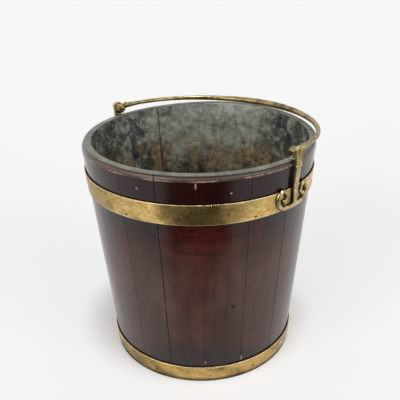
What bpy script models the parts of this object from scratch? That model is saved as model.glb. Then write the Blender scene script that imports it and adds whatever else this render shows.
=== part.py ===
# Peat bucket: coopered mahogany staves in two brass hoops, with a sheet metal
# liner, two cast brackets and a swinging brass bail.
# Metres, +Z up. The origin is the middle of the foot, and the bail turns about X.

import math

import bpy
import bmesh
from mathutils import Matrix, Vector

# Fits
FIT = 0.0003              # gap between pieces that touch
TURNING_FIT = 0.0004      # gap round a pin that something turns on

# Facets of round pieces, and the angle above which an edge stays sharp
HOLE_FACETS = 12
PIN_FACETS = 10
RIVET_FACETS = 12
PIVOT_FACETS = 16
COLLAR_FACETS = 14
EYE_FACETS = 24
SHARP_ANGLE = math.radians(35)
HOOP_EDGE_ANGLE = math.radians(60)

# Coopered body
FOOT_RADIUS = 0.1525
RIM_RADIUS = 0.185
ARRIS_HEIGHT = 0.362      # where the outside stops and the rounded rim starts
NOSING_HEIGHT = 0.0065
NOSING_WIDTH = 0.0050
NOSING_STEPS = 4
STAVE_WALL = 0.0100
STAVE_COUNT = 18
SEAM_START = math.radians(-5.7)
SEAM_VARIATION = math.radians(2.2)
STAVES_PER_VARIATION = 6
FACETS_PER_STAVE = 4
CHIME_HEIGHT = 0.006      # bevel inside the foot
CHIME_WIDTH = 0.003

# Bottom boards, held in a groove that runs round inside the staves
BOARD_COUNT = 3
BOARD_BOTTOM = 0.016
BOARD_THICKNESS = 0.011
GROOVE_HEIGHT = 0.0066
GROOVE_DEPTH = 0.0045
GROOVE_BOTTOM_OFFSET = 0.0022
BOARD_BEVEL = 0.008
DOWEL_RADIUS = 0.003
DOWEL_LENGTH = 0.030
DOWEL_OFFSET = 0.060

# Hoops
HOOP_THICKNESS = 0.0022
HOOP_EDGE = 0.0006
HOOP_LAP_LENGTH = 0.024
HOOP_JOGGLE_LENGTH = 0.009
HOOP_LAP_SEAM = 6
UPPER_HOOP_BELOW_ARRIS = 0.0665
UPPER_HOOP_HEIGHT = 0.032
LOWER_HOOP_BOTTOM = 0.0005
LOWER_HOOP_HEIGHT = 0.029
RIVET_RADIUS = 0.0018
RIVET_HEAD_RADIUS = 0.0035
RIVET_HEAD_HEIGHT = 0.0014
LAP_RIVET_SPACING = 0.015

# Brass pins that nail the hoops to the staves
PIN_RADIUS = 0.0011
PIN_LENGTH = 0.009
PIN_HEAD_RADIUS = 0.0018
PIN_HEAD_HEIGHT = 0.0007
STAVES_PER_PIN = 3
UPPER_PIN_ABOVE_EDGE = 0.0048
LOWER_PIN_ABOVE_EDGE = 0.0125
UPPER_PIN_FROM_SEAM = math.radians(2.6)
LOWER_PIN_FROM_SEAM = math.radians(8.5)

# Liner
LINER_SHEET = 0.001
LINER_CLEARANCE = 0.003
LINER_SHIFT = 0.0025      # the liner sits this much nearer to the right bracket
LINER_LAP_LENGTH = 0.009
LINER_JOGGLE_LENGTH = 0.005
LINER_LAP_FACET = 33
LINER_FLOOR_FLANGE = 0.010
LINER_RIM_WIDTH = 0.0105
LINER_RIM_THICKNESS = 0.0016
LINER_RIM_EDGE = 0.0005

# Bail pivot
PIVOT_ABOVE_RIM = 0.0123
PIVOT_SHIFT = -0.0043     # the brackets lean, so the pivots stand a little to -Y
PIVOT_RADIUS = 0.003
PIVOT_KNOB_RADIUS = 0.0058
PIVOT_KNOB_LENGTH = 0.0068
PIVOT_RIVET_RADIUS = 0.0042
PIVOT_RIVET_DEPTH = 0.0014

# Cast brackets
STRAP_HALF_WIDTH = 0.0044
STRAP_FOOT_HALF_WIDTH = 0.0042
STRAP_THICKNESS = 0.0034
STRAP_FOOT_POINT = 0.0036
STRAP_FOOT_BELOW_HOOP = 0.0005
HEAD_HALF_WIDTH = 0.0075
HEAD_ABOVE_PIVOT = 0.0088
HEAD_CORNER = 0.0040
HEAD_THICKNESS = 0.0046
NECK_BELOW_PIVOT = 0.0203
BEAD_RADIUS = 0.0022
BEAD_OVERHANG = 0.0008
CAST_EDGE = 0.0007
LUG_REACH = 0.0070
LUG_HALF_WIDTH = 0.0085
LUG_THICKNESS = 0.0018
SCROLL_ABOVE_EDGE = 0.0031
SCROLL_CENTRE_OUT = 0.0210
SCROLL_RADIUS = 0.0133
SCROLL_STRETCH = 1.25
SCROLL_START = math.radians(-110)
SCROLL_CURL_START = math.radians(-20)
SCROLL_END = math.radians(90)
SCROLL_END_RADIUS = 0.0083
SCROLL_CURL = 3.0         # how late the curl draws in
SCROLL_STEPS = 14
SCROLL_STROKE = 0.0035
SCROLL_TIP_STROKE = 0.0029
SCROLL_THICKNESS = 0.0038
BULB_RADIUS = 0.0045
BULB_ROUND = math.radians(160)
BULB_STEPS = 5
LEAN_HEIGHT = 0.0235      # the lean is all in this much of the bracket's foot
FOOT_RIVET_ABOVE_EDGE = 0.0115
CAST_STEP = 0.0002        # step between the backs of a casting's joined shapes

# Bail
EYE_THICKNESS = 0.006
EYE_RADIUS = 0.0068
HEEL_LENGTH = 0.0115
HEEL_TOP = 0.0058
HEEL_EDGE = 0.0009
ROD_END_RISE = 0.0025
ROD_BACK_DROP = 0.0040
BAIL_REACH = 0.1920
ROD_NECK_RADIUS = 0.0027  # between the eye and the collar, clear of the bracket's head
ROD_END_RADIUS = 0.0045
ROD_NARROW_RADIUS = 0.0035
ROD_GRIP_RADIUS = 0.0057
ROD_GRIP_SHARPNESS = 4
ROD_FLARE_LENGTH = 0.035
ROD_BULGE = 0.0028        # the ends of the bail bow outwards before it rounds to the back
ROD_BULGE_START = math.radians(5)
ROD_BULGE_END = math.radians(60)
ROD_START = 0.008
ROD_STEPS = 44
COLLAR_START = 0.0152
COLLAR_LENGTH = 0.003
COLLAR_RADIUS = 0.0054

# Heights and radii that follow from the sizes above
WALL_FACETS = STAVE_COUNT * FACETS_PER_STAVE
UPPER_HOOP_BOTTOM = ARRIS_HEIGHT - UPPER_HOOP_BELOW_ARRIS
RIM_TOP = ARRIS_HEIGHT + NOSING_HEIGHT
BOARD_TOP = BOARD_BOTTOM + BOARD_THICKNESS
GROOVE_BOTTOM = BOARD_BOTTOM + GROOVE_BOTTOM_OFFSET
LINER_RIM_BOTTOM = RIM_TOP + FIT
LINER_RIM_TOP = LINER_RIM_BOTTOM + LINER_RIM_THICKNESS
WALL_SLOPE = (RIM_RADIUS - FOOT_RADIUS) / ARRIS_HEIGHT
PIVOT_HEIGHT = RIM_TOP + PIVOT_ABOVE_RIM
NECK_HEIGHT = PIVOT_HEIGHT - NECK_BELOW_PIVOT


def wall_radius(height):
    """Outside radius of the staves at a height."""
    return FOOT_RADIUS + WALL_SLOPE * height


def inner_radius(height):
    """Inside radius of the staves at a height."""
    return wall_radius(height) - STAVE_WALL


def liner_radius(height):
    """Inside radius of the liner's wall at a height."""
    return inner_radius(height) - LINER_CLEARANCE - LINER_SHEET


def hoop_outside(height):
    """Outside radius of a hoop at a height."""
    return wall_radius(height) + FIT + HOOP_THICKNESS


def seam_azimuth(index):
    """Direction of a seam. A cooper's staves are not all of one width."""
    phase = 2 * math.pi * (index + 1) / STAVES_PER_VARIATION
    return SEAM_START + 2 * math.pi * index / STAVE_COUNT + SEAM_VARIATION * math.sin(phase)


def facet_azimuth(index):
    """Direction of a corner of the faceted wall, counted from the first seam."""
    stave, step = divmod(index, FACETS_PER_STAVE)
    start = seam_azimuth(stave)
    return start + (seam_azimuth(stave + 1) - start) * step / FACETS_PER_STAVE


HEAD_BACK = hoop_outside(NECK_HEIGHT) + FIT
EYE_OUTER = HEAD_BACK - FIT
EYE_CENTRE = EYE_OUTER - EYE_THICKNESS / 2
EYE_INNER = EYE_OUTER - EYE_THICKNESS
HEAD_FRONT = HEAD_BACK + HEAD_THICKNESS
LUG_INNER = HEAD_BACK - LUG_REACH
LUG_BOTTOM = LINER_RIM_TOP + FIT
LUG_TOP = LUG_BOTTOM + LUG_THICKNESS
HEEL_BOTTOM = LUG_TOP + FIT - PIVOT_HEIGHT


# Scene and materials

for old in list(bpy.data.objects):
    bpy.data.objects.remove(old, do_unlink=True)

bucket = bpy.data.collections.new("peat_bucket")
bpy.context.scene.collection.children.link(bucket)
cutters = bpy.data.collections.new("cutters")
bpy.context.scene.collection.children.link(cutters)


def finish(name, colour, roughness, metallic):
    material = bpy.data.materials.new(name)
    material.use_nodes = True
    shader = material.node_tree.nodes["Principled BSDF"]
    shader.inputs["Base Color"].default_value = (*colour, 1)
    shader.inputs["Roughness"].default_value = roughness
    shader.inputs["Metallic"].default_value = metallic
    return material


MAHOGANY = (0.075, 0.014, 0.010)
BRASS = (0.60, 0.40, 0.13)
ZINC = (0.16, 0.17, 0.15)


def wood(name):
    return finish(name + "_mahogany", MAHOGANY, 0.28, 0.0)


def brass(name):
    return finish(name + "_brass", BRASS, 0.30, 1.0)


def zinc(name):
    return finish(name + "_zinc", ZINC, 0.55, 1.0)


# Helpers

def add_object(name, data, collection=bucket, material=None):
    thing = bpy.data.objects.new(name, data)
    collection.objects.link(thing)
    if material:
        thing.data.materials.clear()
        thing.data.materials.append(material)
    return thing


def baked(thing):
    """Mesh of an object with its modifiers, in place of the object."""
    bpy.context.view_layer.update()
    evaluated = thing.evaluated_get(bpy.context.evaluated_depsgraph_get())
    mesh = bpy.data.meshes.new_from_object(evaluated)
    mesh.transform(thing.matrix_world)
    bpy.data.objects.remove(thing, do_unlink=True)
    work = bmesh.new()
    work.from_mesh(mesh)
    bmesh.ops.remove_doubles(work, verts=work.verts, dist=1e-6)
    work.to_mesh(mesh)
    work.free()
    return mesh


def smooth(mesh):
    mesh.shade_smooth()
    mesh.set_sharp_from_angle(angle=SHARP_ANGLE)


def turned(name, profile, segments, material=None, ring=False):
    """Turned piece from (radius, height) points, which run down the outer side."""
    mesh = bpy.data.meshes.new(name)
    work = bmesh.new()
    points = [work.verts.new((radius, 0, height)) for radius, height in profile]
    for start, end in zip(points, points[1:] + points[:1] if ring else points[1:]):
        work.edges.new((start, end))
    work.to_mesh(mesh)
    work.free()
    thing = add_object(name, mesh, material=material)
    screw = thing.modifiers.new("Screw", "SCREW")
    screw.steps = segments
    screw.render_steps = segments
    screw.use_merge_vertices = True
    screw.merge_threshold = 0.00001
    return thing


def boolean(thing, other, operation):
    modifier = thing.modifiers.new(operation.title(), "BOOLEAN")
    modifier.operation = operation
    modifier.solver = "EXACT"
    modifier.object = other


def cutter(name, mesh):
    thing = add_object(name, mesh, cutters)
    thing.hide_render = True
    thing.display_type = "WIRE"
    return thing


def radial(azimuth, radius, height):
    """Place on the wall: local Z points outwards, local Y points up."""
    outward = Vector((math.cos(azimuth), math.sin(azimuth), 0))
    up = Vector((0, 0, 1))
    place = Matrix((up.cross(outward), up, outward)).transposed().to_4x4()
    place.translation = outward * radius + up * height
    return place


def copies(name, mesh, places):
    """One mesh that holds a separate copy at each place."""
    work = bmesh.new()
    for place in places:
        first = len(work.verts)
        work.from_mesh(mesh)
        work.verts.ensure_lookup_table()
        bmesh.ops.transform(work, matrix=place, verts=work.verts[first:])
    joined = bpy.data.meshes.new(name)
    work.to_mesh(joined)
    work.free()
    return joined


def place_each(name, mesh, places, material):
    """Like fasteners: one object for each place, all of one mesh."""
    smooth(mesh)
    mesh.materials.clear()
    mesh.materials.append(material)
    for number, place in enumerate(places, start=1):
        thing = add_object(f"{name}_{number}", mesh)
        thing.matrix_world = place


def cylinder_mesh(name, radius, start, end, segments=HOLE_FACETS):
    """Cylinder along local Z from start to end."""
    mesh = bpy.data.meshes.new(name)
    work = bmesh.new()
    bmesh.ops.create_cone(work, cap_ends=True, segments=segments, radius1=radius, radius2=radius,
                          depth=end - start, matrix=Matrix.Translation((0, 0, (start + end) / 2)))
    work.to_mesh(mesh)
    work.free()
    return mesh


def box_mesh(name, low, high, edge=0.0):
    """Box between two corners, with its edges rounded."""
    low = Vector(low)
    high = Vector(high)
    mesh = bpy.data.meshes.new(name)
    work = bmesh.new()
    place = Matrix.Translation((low + high) / 2) @ Matrix.Diagonal((*(high - low), 1))
    bmesh.ops.create_cube(work, size=1, matrix=place)
    if edge:
        bmesh.ops.bevel(work, geom=work.edges, offset=edge, segments=1, affect="EDGES")
    work.to_mesh(mesh)
    work.free()
    return mesh


# Staves

def stave_profile():
    """Section of a stave as (radius, height) points, from the foot up its outside."""
    profile = [(wall_radius(0), 0), (RIM_RADIUS, ARRIS_HEIGHT)]
    for step in range(1, NOSING_STEPS + 1):
        angle = math.pi / 2 * step / NOSING_STEPS
        profile.append((RIM_RADIUS - NOSING_WIDTH * (1 - math.cos(angle)),
                        ARRIS_HEIGHT + NOSING_HEIGHT * math.sin(angle)))
    groove_top = GROOVE_BOTTOM + GROOVE_HEIGHT
    profile += [(inner_radius(RIM_TOP), RIM_TOP),
                (inner_radius(groove_top), groove_top),
                (inner_radius(groove_top) + GROOVE_DEPTH, groove_top),
                (inner_radius(GROOVE_BOTTOM) + GROOVE_DEPTH, GROOVE_BOTTOM),
                (inner_radius(GROOVE_BOTTOM), GROOVE_BOTTOM),
                (inner_radius(CHIME_HEIGHT), CHIME_HEIGHT),
                (inner_radius(0) + CHIME_WIDTH, 0)]
    return profile


def make_stave(index, pin_holes):
    """Sector of the wall between two seams, spun from its section."""
    half_gap = FIT / 2 / inner_radius(0)
    start = seam_azimuth(index) + half_gap
    end = seam_azimuth(index + 1) - half_gap
    name = f"stave_{index + 1:02d}"
    work = bmesh.new()
    section = work.faces.new([work.verts.new((radius * math.cos(start), radius * math.sin(start), height))
                              for radius, height in stave_profile()])
    bmesh.ops.spin(work, geom=[section] + section.edges[:] + section.verts[:], axis=(0, 0, 1),
                   cent=(0, 0, 0), angle=end - start, steps=FACETS_PER_STAVE)
    bmesh.ops.recalc_face_normals(work, faces=work.faces)
    mesh = bpy.data.meshes.new(name)
    work.to_mesh(mesh)
    work.free()
    stave = add_object(name, mesh, material=wood(name))
    boolean(stave, pin_holes, "DIFFERENCE")
    smooth(mesh)


# Bottom boards and the dowels between them

def make_bottom():
    """A bevelled disc sawn into boards, with its edge in the groove."""
    tongue_top = GROOVE_BOTTOM + GROOVE_HEIGHT - FIT
    tongue_bottom = GROOVE_BOTTOM + FIT
    shoulder = inner_radius(tongue_bottom) - 2 * FIT
    tongue_radius = inner_radius(tongue_bottom) + GROOVE_DEPTH - 2 * FIT
    disc = baked(turned("bottom_disc", [(0, BOARD_TOP), (shoulder - BOARD_BEVEL, BOARD_TOP),
                                        (shoulder, tongue_top), (tongue_radius, tongue_top),
                                        (tongue_radius, tongue_bottom), (shoulder, tongue_bottom),
                                        (shoulder - BOARD_BEVEL, BOARD_BOTTOM), (0, BOARD_BOTTOM)],
                        WALL_FACETS))
    board_width = 2 * tongue_radius / BOARD_COUNT
    middle = (BOARD_BOTTOM + BOARD_TOP) / 2
    joints = [board_width * (number - BOARD_COUNT / 2) for number in range(1, BOARD_COUNT)]
    places = [Matrix.Translation((side * DOWEL_OFFSET, joint, middle)) @ Matrix.Rotation(math.pi / 2, 4, "X")
              for joint in joints for side in (-1, 1)]
    half = DOWEL_LENGTH / 2
    place_each("bottom_dowel", cylinder_mesh("dowel", DOWEL_RADIUS, -half, half), places, wood("dowel"))
    hole = cylinder_mesh("dowel_hole", DOWEL_RADIUS + FIT, -half - FIT, half + FIT)
    holes = cutter("dowel_holes", copies("dowel_holes", hole, places))
    for number in range(BOARD_COUNT):
        low = board_width * (number - BOARD_COUNT / 2) + FIT / 2
        high = low + board_width - FIT
        name = f"bottom_board_{number + 1}"
        board = add_object(name, disc.copy(), material=wood(name))
        saw = box_mesh("saw", (-RIM_RADIUS, low, 0), (RIM_RADIUS, high, RIM_RADIUS))
        boolean(board, cutter(f"saw_{number + 1}", saw), "INTERSECT")
        boolean(board, holes, "DIFFERENCE")


# Hoops and the liner's wall, each a strip bent round and lapped

def lapped_strip(name, radius_at, bottom, height, thickness, first_facet, lap, joggle, material):
    """Strip round the cone, whose end steps out and lies over its start."""
    middle = bottom + height / 2
    radius = radius_at(middle) + thickness / 2
    start = facet_azimuth(first_facet)
    turn = start + 2 * math.pi
    step_end = turn - 2 * FIT / radius
    step_start = step_end - joggle / radius
    angles = [facet_azimuth(first_facet + index) for index in range(WALL_FACETS + 1)]
    after = 1
    while facet_azimuth(first_facet + WALL_FACETS + after) < turn + lap / radius:
        angles.append(facet_azimuth(first_facet + WALL_FACETS + after))
        after += 1
    angles = sorted(angles + [step_start, step_end, turn + lap / radius])
    path = bpy.data.curves.new(name + "_path", "CURVE")
    path.dimensions = "2D"
    path.extrude = height / 2
    line = path.splines.new("POLY")
    line.points.add(len(angles) - 1)
    for point, angle in zip(line.points, angles):
        share = min(max((angle - step_start) / (step_end - step_start), 0), 1)
        reach = radius + share * (thickness + FIT)
        point.co = (reach * math.cos(angle), reach * math.sin(angle), 0, 1)
    mesh = baked(add_object(name + "_path", path))
    for vertex in mesh.vertices:
        flat = Vector((vertex.co.x, vertex.co.y, 0))
        flat *= 1 + WALL_SLOPE * vertex.co.z / flat.length
        vertex.co = (flat.x, flat.y, vertex.co.z + middle)
    strip = add_object(name, mesh, material=material)
    solid = strip.modifiers.new("Solidify", "SOLIDIFY")
    solid.thickness = thickness
    solid.offset = 0
    solid.use_even_offset = True
    return strip


def lap_rivet_places(bottom, height):
    middle = bottom + height / 2
    angle = facet_azimuth(HOOP_LAP_SEAM * FACETS_PER_STAVE) + HOOP_LAP_LENGTH / 2 / hoop_outside(middle)
    heights = [middle - LAP_RIVET_SPACING / 2, middle + LAP_RIVET_SPACING / 2]
    return [radial(angle, wall_radius(level) + FIT, level) for level in heights]


def rivet_mesh(name, grip):
    """Rivet whose shank ends at local Z = 0 and whose domed head sits on the grip."""
    seat = grip + FIT
    dome = [(RIVET_HEAD_RADIUS * math.cos(angle), seat + RIVET_HEAD_HEIGHT * math.sin(angle))
            for angle in [math.pi / 2 * step / 3 for step in (2, 1, 0)]]
    profile = [(0, seat + RIVET_HEAD_HEIGHT)] + dome + [(RIVET_RADIUS, seat), (RIVET_RADIUS, 0), (0, 0)]
    return baked(turned(name, profile, RIVET_FACETS))


def make_hoop(name, bottom, height, pin_holes, bracket_holes=None):
    hoop = lapped_strip(name, lambda level: wall_radius(level) + FIT, bottom, height, HOOP_THICKNESS,
                        HOOP_LAP_SEAM * FACETS_PER_STAVE, HOOP_LAP_LENGTH, HOOP_JOGGLE_LENGTH, brass(name))
    edge = hoop.modifiers.new("Bevel", "BEVEL")
    edge.width = HOOP_EDGE
    edge.segments = 1
    edge.limit_method = "ANGLE"
    edge.angle_limit = HOOP_EDGE_ANGLE
    places = lap_rivet_places(bottom, height)
    grip = 2 * HOOP_THICKNESS + FIT
    hole = cylinder_mesh("rivet_hole", RIVET_RADIUS + FIT, -grip, 2 * grip)
    boolean(hoop, cutter(name + "_rivet_holes", copies("rivet_holes", hole, places)), "DIFFERENCE")
    boolean(hoop, pin_holes, "DIFFERENCE")
    if bracket_holes:
        boolean(hoop, bracket_holes, "DIFFERENCE")
    place_each(name + "_rivet", rivet_mesh("rivet", grip), places, brass(name + "_rivet"))
    smooth(hoop.data)


# Pins through the hoops into the staves

def pin_places(level, from_seam):
    angles = [seam_azimuth(index) + from_seam for index in range(-1, STAVE_COUNT - 1, STAVES_PER_PIN)]
    return [radial(angle, hoop_outside(level), level) for angle in angles]


UPPER_PINS = pin_places(UPPER_HOOP_BOTTOM + UPPER_PIN_ABOVE_EDGE, UPPER_PIN_FROM_SEAM)
LOWER_PINS = pin_places(LOWER_HOOP_BOTTOM + LOWER_PIN_ABOVE_EDGE, LOWER_PIN_FROM_SEAM)


def make_pins():
    """Flat-headed pins driven flush, and the holes that take them."""
    profile = [(0, 0), (PIN_HEAD_RADIUS, 0), (PIN_HEAD_RADIUS, -PIN_HEAD_HEIGHT),
               (PIN_RADIUS, -PIN_HEAD_HEIGHT - PIN_HEAD_RADIUS + PIN_RADIUS),
               (PIN_RADIUS, -PIN_LENGTH + PIN_RADIUS), (0, -PIN_LENGTH)]
    pin = baked(turned("pin", profile, PIN_FACETS))
    material = brass("band_pin")
    place_each("upper_band_pin", pin, UPPER_PINS, material)
    place_each("lower_band_pin", pin, LOWER_PINS, material)
    drill_profile = [(0, HOOP_THICKNESS), (PIN_HEAD_RADIUS + FIT, HOOP_THICKNESS),
                     (PIN_HEAD_RADIUS + FIT, -PIN_HEAD_HEIGHT - FIT),
                     (PIN_RADIUS + FIT, -PIN_HEAD_HEIGHT - FIT - PIN_HEAD_RADIUS + PIN_RADIUS),
                     (PIN_RADIUS + FIT, -PIN_LENGTH - FIT), (0, -PIN_LENGTH - FIT)]
    drill = baked(turned("drill", drill_profile, PIN_FACETS))
    return cutter("pin_holes", copies("pin_holes", drill, UPPER_PINS + LOWER_PINS))


# Liner

def make_liner():
    wall_bottom = BOARD_TOP + FIT
    wall = lapped_strip("liner_wall", liner_radius, wall_bottom, RIM_TOP - wall_bottom, LINER_SHEET,
                        LINER_LAP_FACET, LINER_LAP_LENGTH, LINER_JOGGLE_LENGTH, zinc("liner_wall"))
    smooth(wall.data)
    wall.location.x = LINER_SHIFT
    top = wall_bottom + LINER_FLOOR_FLANGE
    low_radius = liner_radius(wall_bottom) - 2 * FIT
    high_radius = liner_radius(top) - 2 * FIT
    profile = [(0, wall_bottom + LINER_SHEET), (low_radius - LINER_SHEET, wall_bottom + LINER_SHEET),
               (high_radius - LINER_SHEET, top), (high_radius, top), (low_radius, wall_bottom),
               (0, wall_bottom)]
    floor = turned("liner_floor", profile, WALL_FACETS, zinc("liner_floor"))
    smooth(floor.data)
    floor.location.x = LINER_SHIFT
    inside = liner_radius(RIM_TOP)
    outside = inside + LINER_RIM_WIDTH
    edge = LINER_RIM_EDGE
    ring = [(inside + edge, LINER_RIM_TOP), (outside - edge, LINER_RIM_TOP), (outside, LINER_RIM_TOP - edge),
            (outside, LINER_RIM_BOTTOM + edge), (outside - edge, LINER_RIM_BOTTOM),
            (inside, LINER_RIM_BOTTOM), (inside, LINER_RIM_TOP - edge)]
    rim = turned("liner_rim", ring, WALL_FACETS, zinc("liner_rim"), ring=True)
    smooth(rim.data)
    rim.location.x = LINER_SHIFT


# Brackets

def strap_back(height):
    """Radius of a bracket's back: it follows the wall to the neck, then stands upright."""
    return hoop_outside(min(height, NECK_HEIGHT)) + FIT


def lean(height):
    """Sideways offset of a bracket: its foot is on the X axis and the rest is not."""
    return PIVOT_SHIFT * min((height - UPPER_HOOP_BOTTOM) / LEAN_HEIGHT, 1)


def wrap(mesh):
    """Lay a flat casting on the bucket: X runs round it, Y is height, Z stands out.
    The head, above the neck, stays flat, so that the bail's eye can turn against it."""
    for vertex in mesh.vertices:
        across, height, out = vertex.co
        back = strap_back(height)
        spread = across + lean(height)
        if height > NECK_HEIGHT:
            vertex.co = (back + out, spread, height)
        else:
            angle = spread / back
            vertex.co = ((back + out) * math.cos(angle), (back + out) * math.sin(angle), height)


def mirrored(mesh):
    """The same shape for the left side."""
    other = mesh.copy()
    other.transform(Matrix.Diagonal((-1, 1, 1, 1)))
    other.flip_normals()
    return other


def strap_outline():
    """Right half of the strap and head, from the pointed foot to the top."""
    foot = UPPER_HOOP_BOTTOM - STRAP_FOOT_BELOW_HOOP
    head_wide = PIVOT_HEIGHT - HEAD_HALF_WIDTH / 3
    top = PIVOT_HEIGHT + HEAD_ABOVE_PIVOT
    half = [(STRAP_FOOT_HALF_WIDTH / 2, foot + STRAP_FOOT_POINT / 4),
            (STRAP_FOOT_HALF_WIDTH, foot + 2 * STRAP_FOOT_POINT),
            (STRAP_HALF_WIDTH, NECK_HEIGHT)]
    for step in range(1, 5):
        share = step / 4
        flare = (1 - math.cos(math.pi * share)) / 2
        half.append((STRAP_HALF_WIDTH + (HEAD_HALF_WIDTH - STRAP_HALF_WIDTH) * flare,
                     NECK_HEIGHT + (head_wide - NECK_HEIGHT) * share))
    for step in range(0, 4):
        angle = math.pi / 2 * step / 4
        half.append((HEAD_HALF_WIDTH - HEAD_CORNER * (1 - math.cos(angle)),
                     top - HEAD_CORNER * (1 - math.sin(angle))))
    half.append((HEAD_HALF_WIDTH - HEAD_CORNER, top))
    return foot, half


def plate_mesh(name, outline, thickness):
    """Flat outline with rounded edges, standing from Z = 0 to its thickness."""
    curve = bpy.data.curves.new(name, "CURVE")
    curve.dimensions = "2D"
    curve.fill_mode = "BOTH"
    curve.extrude = thickness / 2 - CAST_EDGE
    curve.bevel_depth = CAST_EDGE
    curve.bevel_resolution = 1
    curve.offset = -CAST_EDGE
    line = curve.splines.new("POLY")
    line.points.add(len(outline) - 1)
    line.use_cyclic_u = True
    for point, (across, height) in zip(line.points, outline):
        point.co = (across, height, 0, 1)
    plate = add_object(name, curve)
    plate.location.z = thickness / 2
    return baked(plate)


def strap_mesh():
    foot, half = strap_outline()
    outline = [(0, foot)] + half + [(-across, height) for across, height in reversed(half)]
    mesh = plate_mesh("strap", outline, STRAP_THICKNESS)
    work = bmesh.new()
    work.from_mesh(mesh)
    for level in (NECK_HEIGHT - BEAD_RADIUS, NECK_HEIGHT + BEAD_RADIUS):
        bmesh.ops.bisect_plane(work, geom=work.verts[:] + work.edges[:] + work.faces[:],
                               plane_co=(0, level, 0), plane_no=(0, 1, 0))
    work.to_mesh(mesh)
    work.free()
    thicken = (HEAD_THICKNESS - STRAP_THICKNESS) / (2 * BEAD_RADIUS)
    for vertex in mesh.vertices:
        rise = min(max(vertex.co.y - NECK_HEIGHT + BEAD_RADIUS, 0), 2 * BEAD_RADIUS)
        if vertex.co.z > STRAP_THICKNESS / 2:
            vertex.co.z += thicken * rise
    wrap(mesh)
    return mesh


def scroll_line():
    """Middle line of the right scroll: out of the strap's foot, round and over to the bulb."""
    bottom = UPPER_HOOP_BOTTOM + SCROLL_ABOVE_EDGE
    centre = bottom + SCROLL_STRETCH * SCROLL_RADIUS
    line = [Vector((-SCROLL_STROKE / 2, bottom + SCROLL_STROKE / 2)),
            Vector((SCROLL_CENTRE_OUT / 3, bottom - SCROLL_STROKE / 6))]
    for step in range(1, SCROLL_STEPS + 1):
        angle = SCROLL_START + (SCROLL_END - SCROLL_START) * step / SCROLL_STEPS
        curl = max(angle - SCROLL_CURL_START, 0) / (SCROLL_END - SCROLL_CURL_START)
        radius = SCROLL_RADIUS + (SCROLL_END_RADIUS - SCROLL_RADIUS) * curl ** SCROLL_CURL
        line.append(Vector((SCROLL_CENTRE_OUT + radius * math.cos(angle),
                            centre + SCROLL_STRETCH * radius * math.sin(angle))))
    return line


def bulb_centre():
    """The bulb sits on the end of the scroll, in line with it."""
    before, end = scroll_line()[-2:]
    ahead = (end - before).normalized()
    return end + ahead * math.sqrt(BULB_RADIUS ** 2 - SCROLL_TIP_STROKE ** 2), ahead


def scroll_mesh(side):
    """Half-round arm of a scroll and the bulb that ends it, flat at its back."""
    line = scroll_line()
    strokes = [SCROLL_STROKE + (SCROLL_TIP_STROKE - SCROLL_STROKE) * index / (len(line) - 1)
               for index in range(len(line))]
    centre, ahead = bulb_centre()
    first = math.asin(SCROLL_TIP_STROKE / BULB_RADIUS)
    for step in range(1, BULB_STEPS + 1):
        angle = first + (BULB_ROUND - first) * step / BULB_STEPS
        line.append(centre - ahead * BULB_RADIUS * math.cos(angle))
        strokes.append(BULB_RADIUS * math.sin(angle))
    curve = bpy.data.curves.new("scroll", "CURVE")
    curve.dimensions = "3D"
    curve.bevel_depth = 1.0
    curve.bevel_resolution = 2
    curve.use_fill_caps = True
    spline = curve.splines.new("POLY")
    spline.points.add(len(line) - 1)
    for point, spot, stroke in zip(spline.points, line, strokes):
        point.co = (side * spot.x, spot.y, 0, 1)
        point.radius = stroke
    mesh = baked(add_object("scroll", curve))
    for vertex in mesh.vertices:
        vertex.co.z = CAST_STEP + max(vertex.co.z, 0) * SCROLL_THICKNESS / SCROLL_STROKE
    wrap(mesh)
    return mesh


def bracket_rivet_places(left):
    """Each scroll's bulb and the strap's foot are riveted to the upper hoop."""
    bulb, _ = bulb_centre()
    foot = UPPER_HOOP_BOTTOM + FOOT_RIVET_ABOVE_EDGE
    places = []
    for spread, level in ((-bulb.x, bulb.y), (bulb.x, bulb.y), (0, foot)):
        angle = (spread + lean(level)) / strap_back(level)
        places.append(radial(math.pi - angle if left else angle, wall_radius(level) + FIT, level))
    return places


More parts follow.
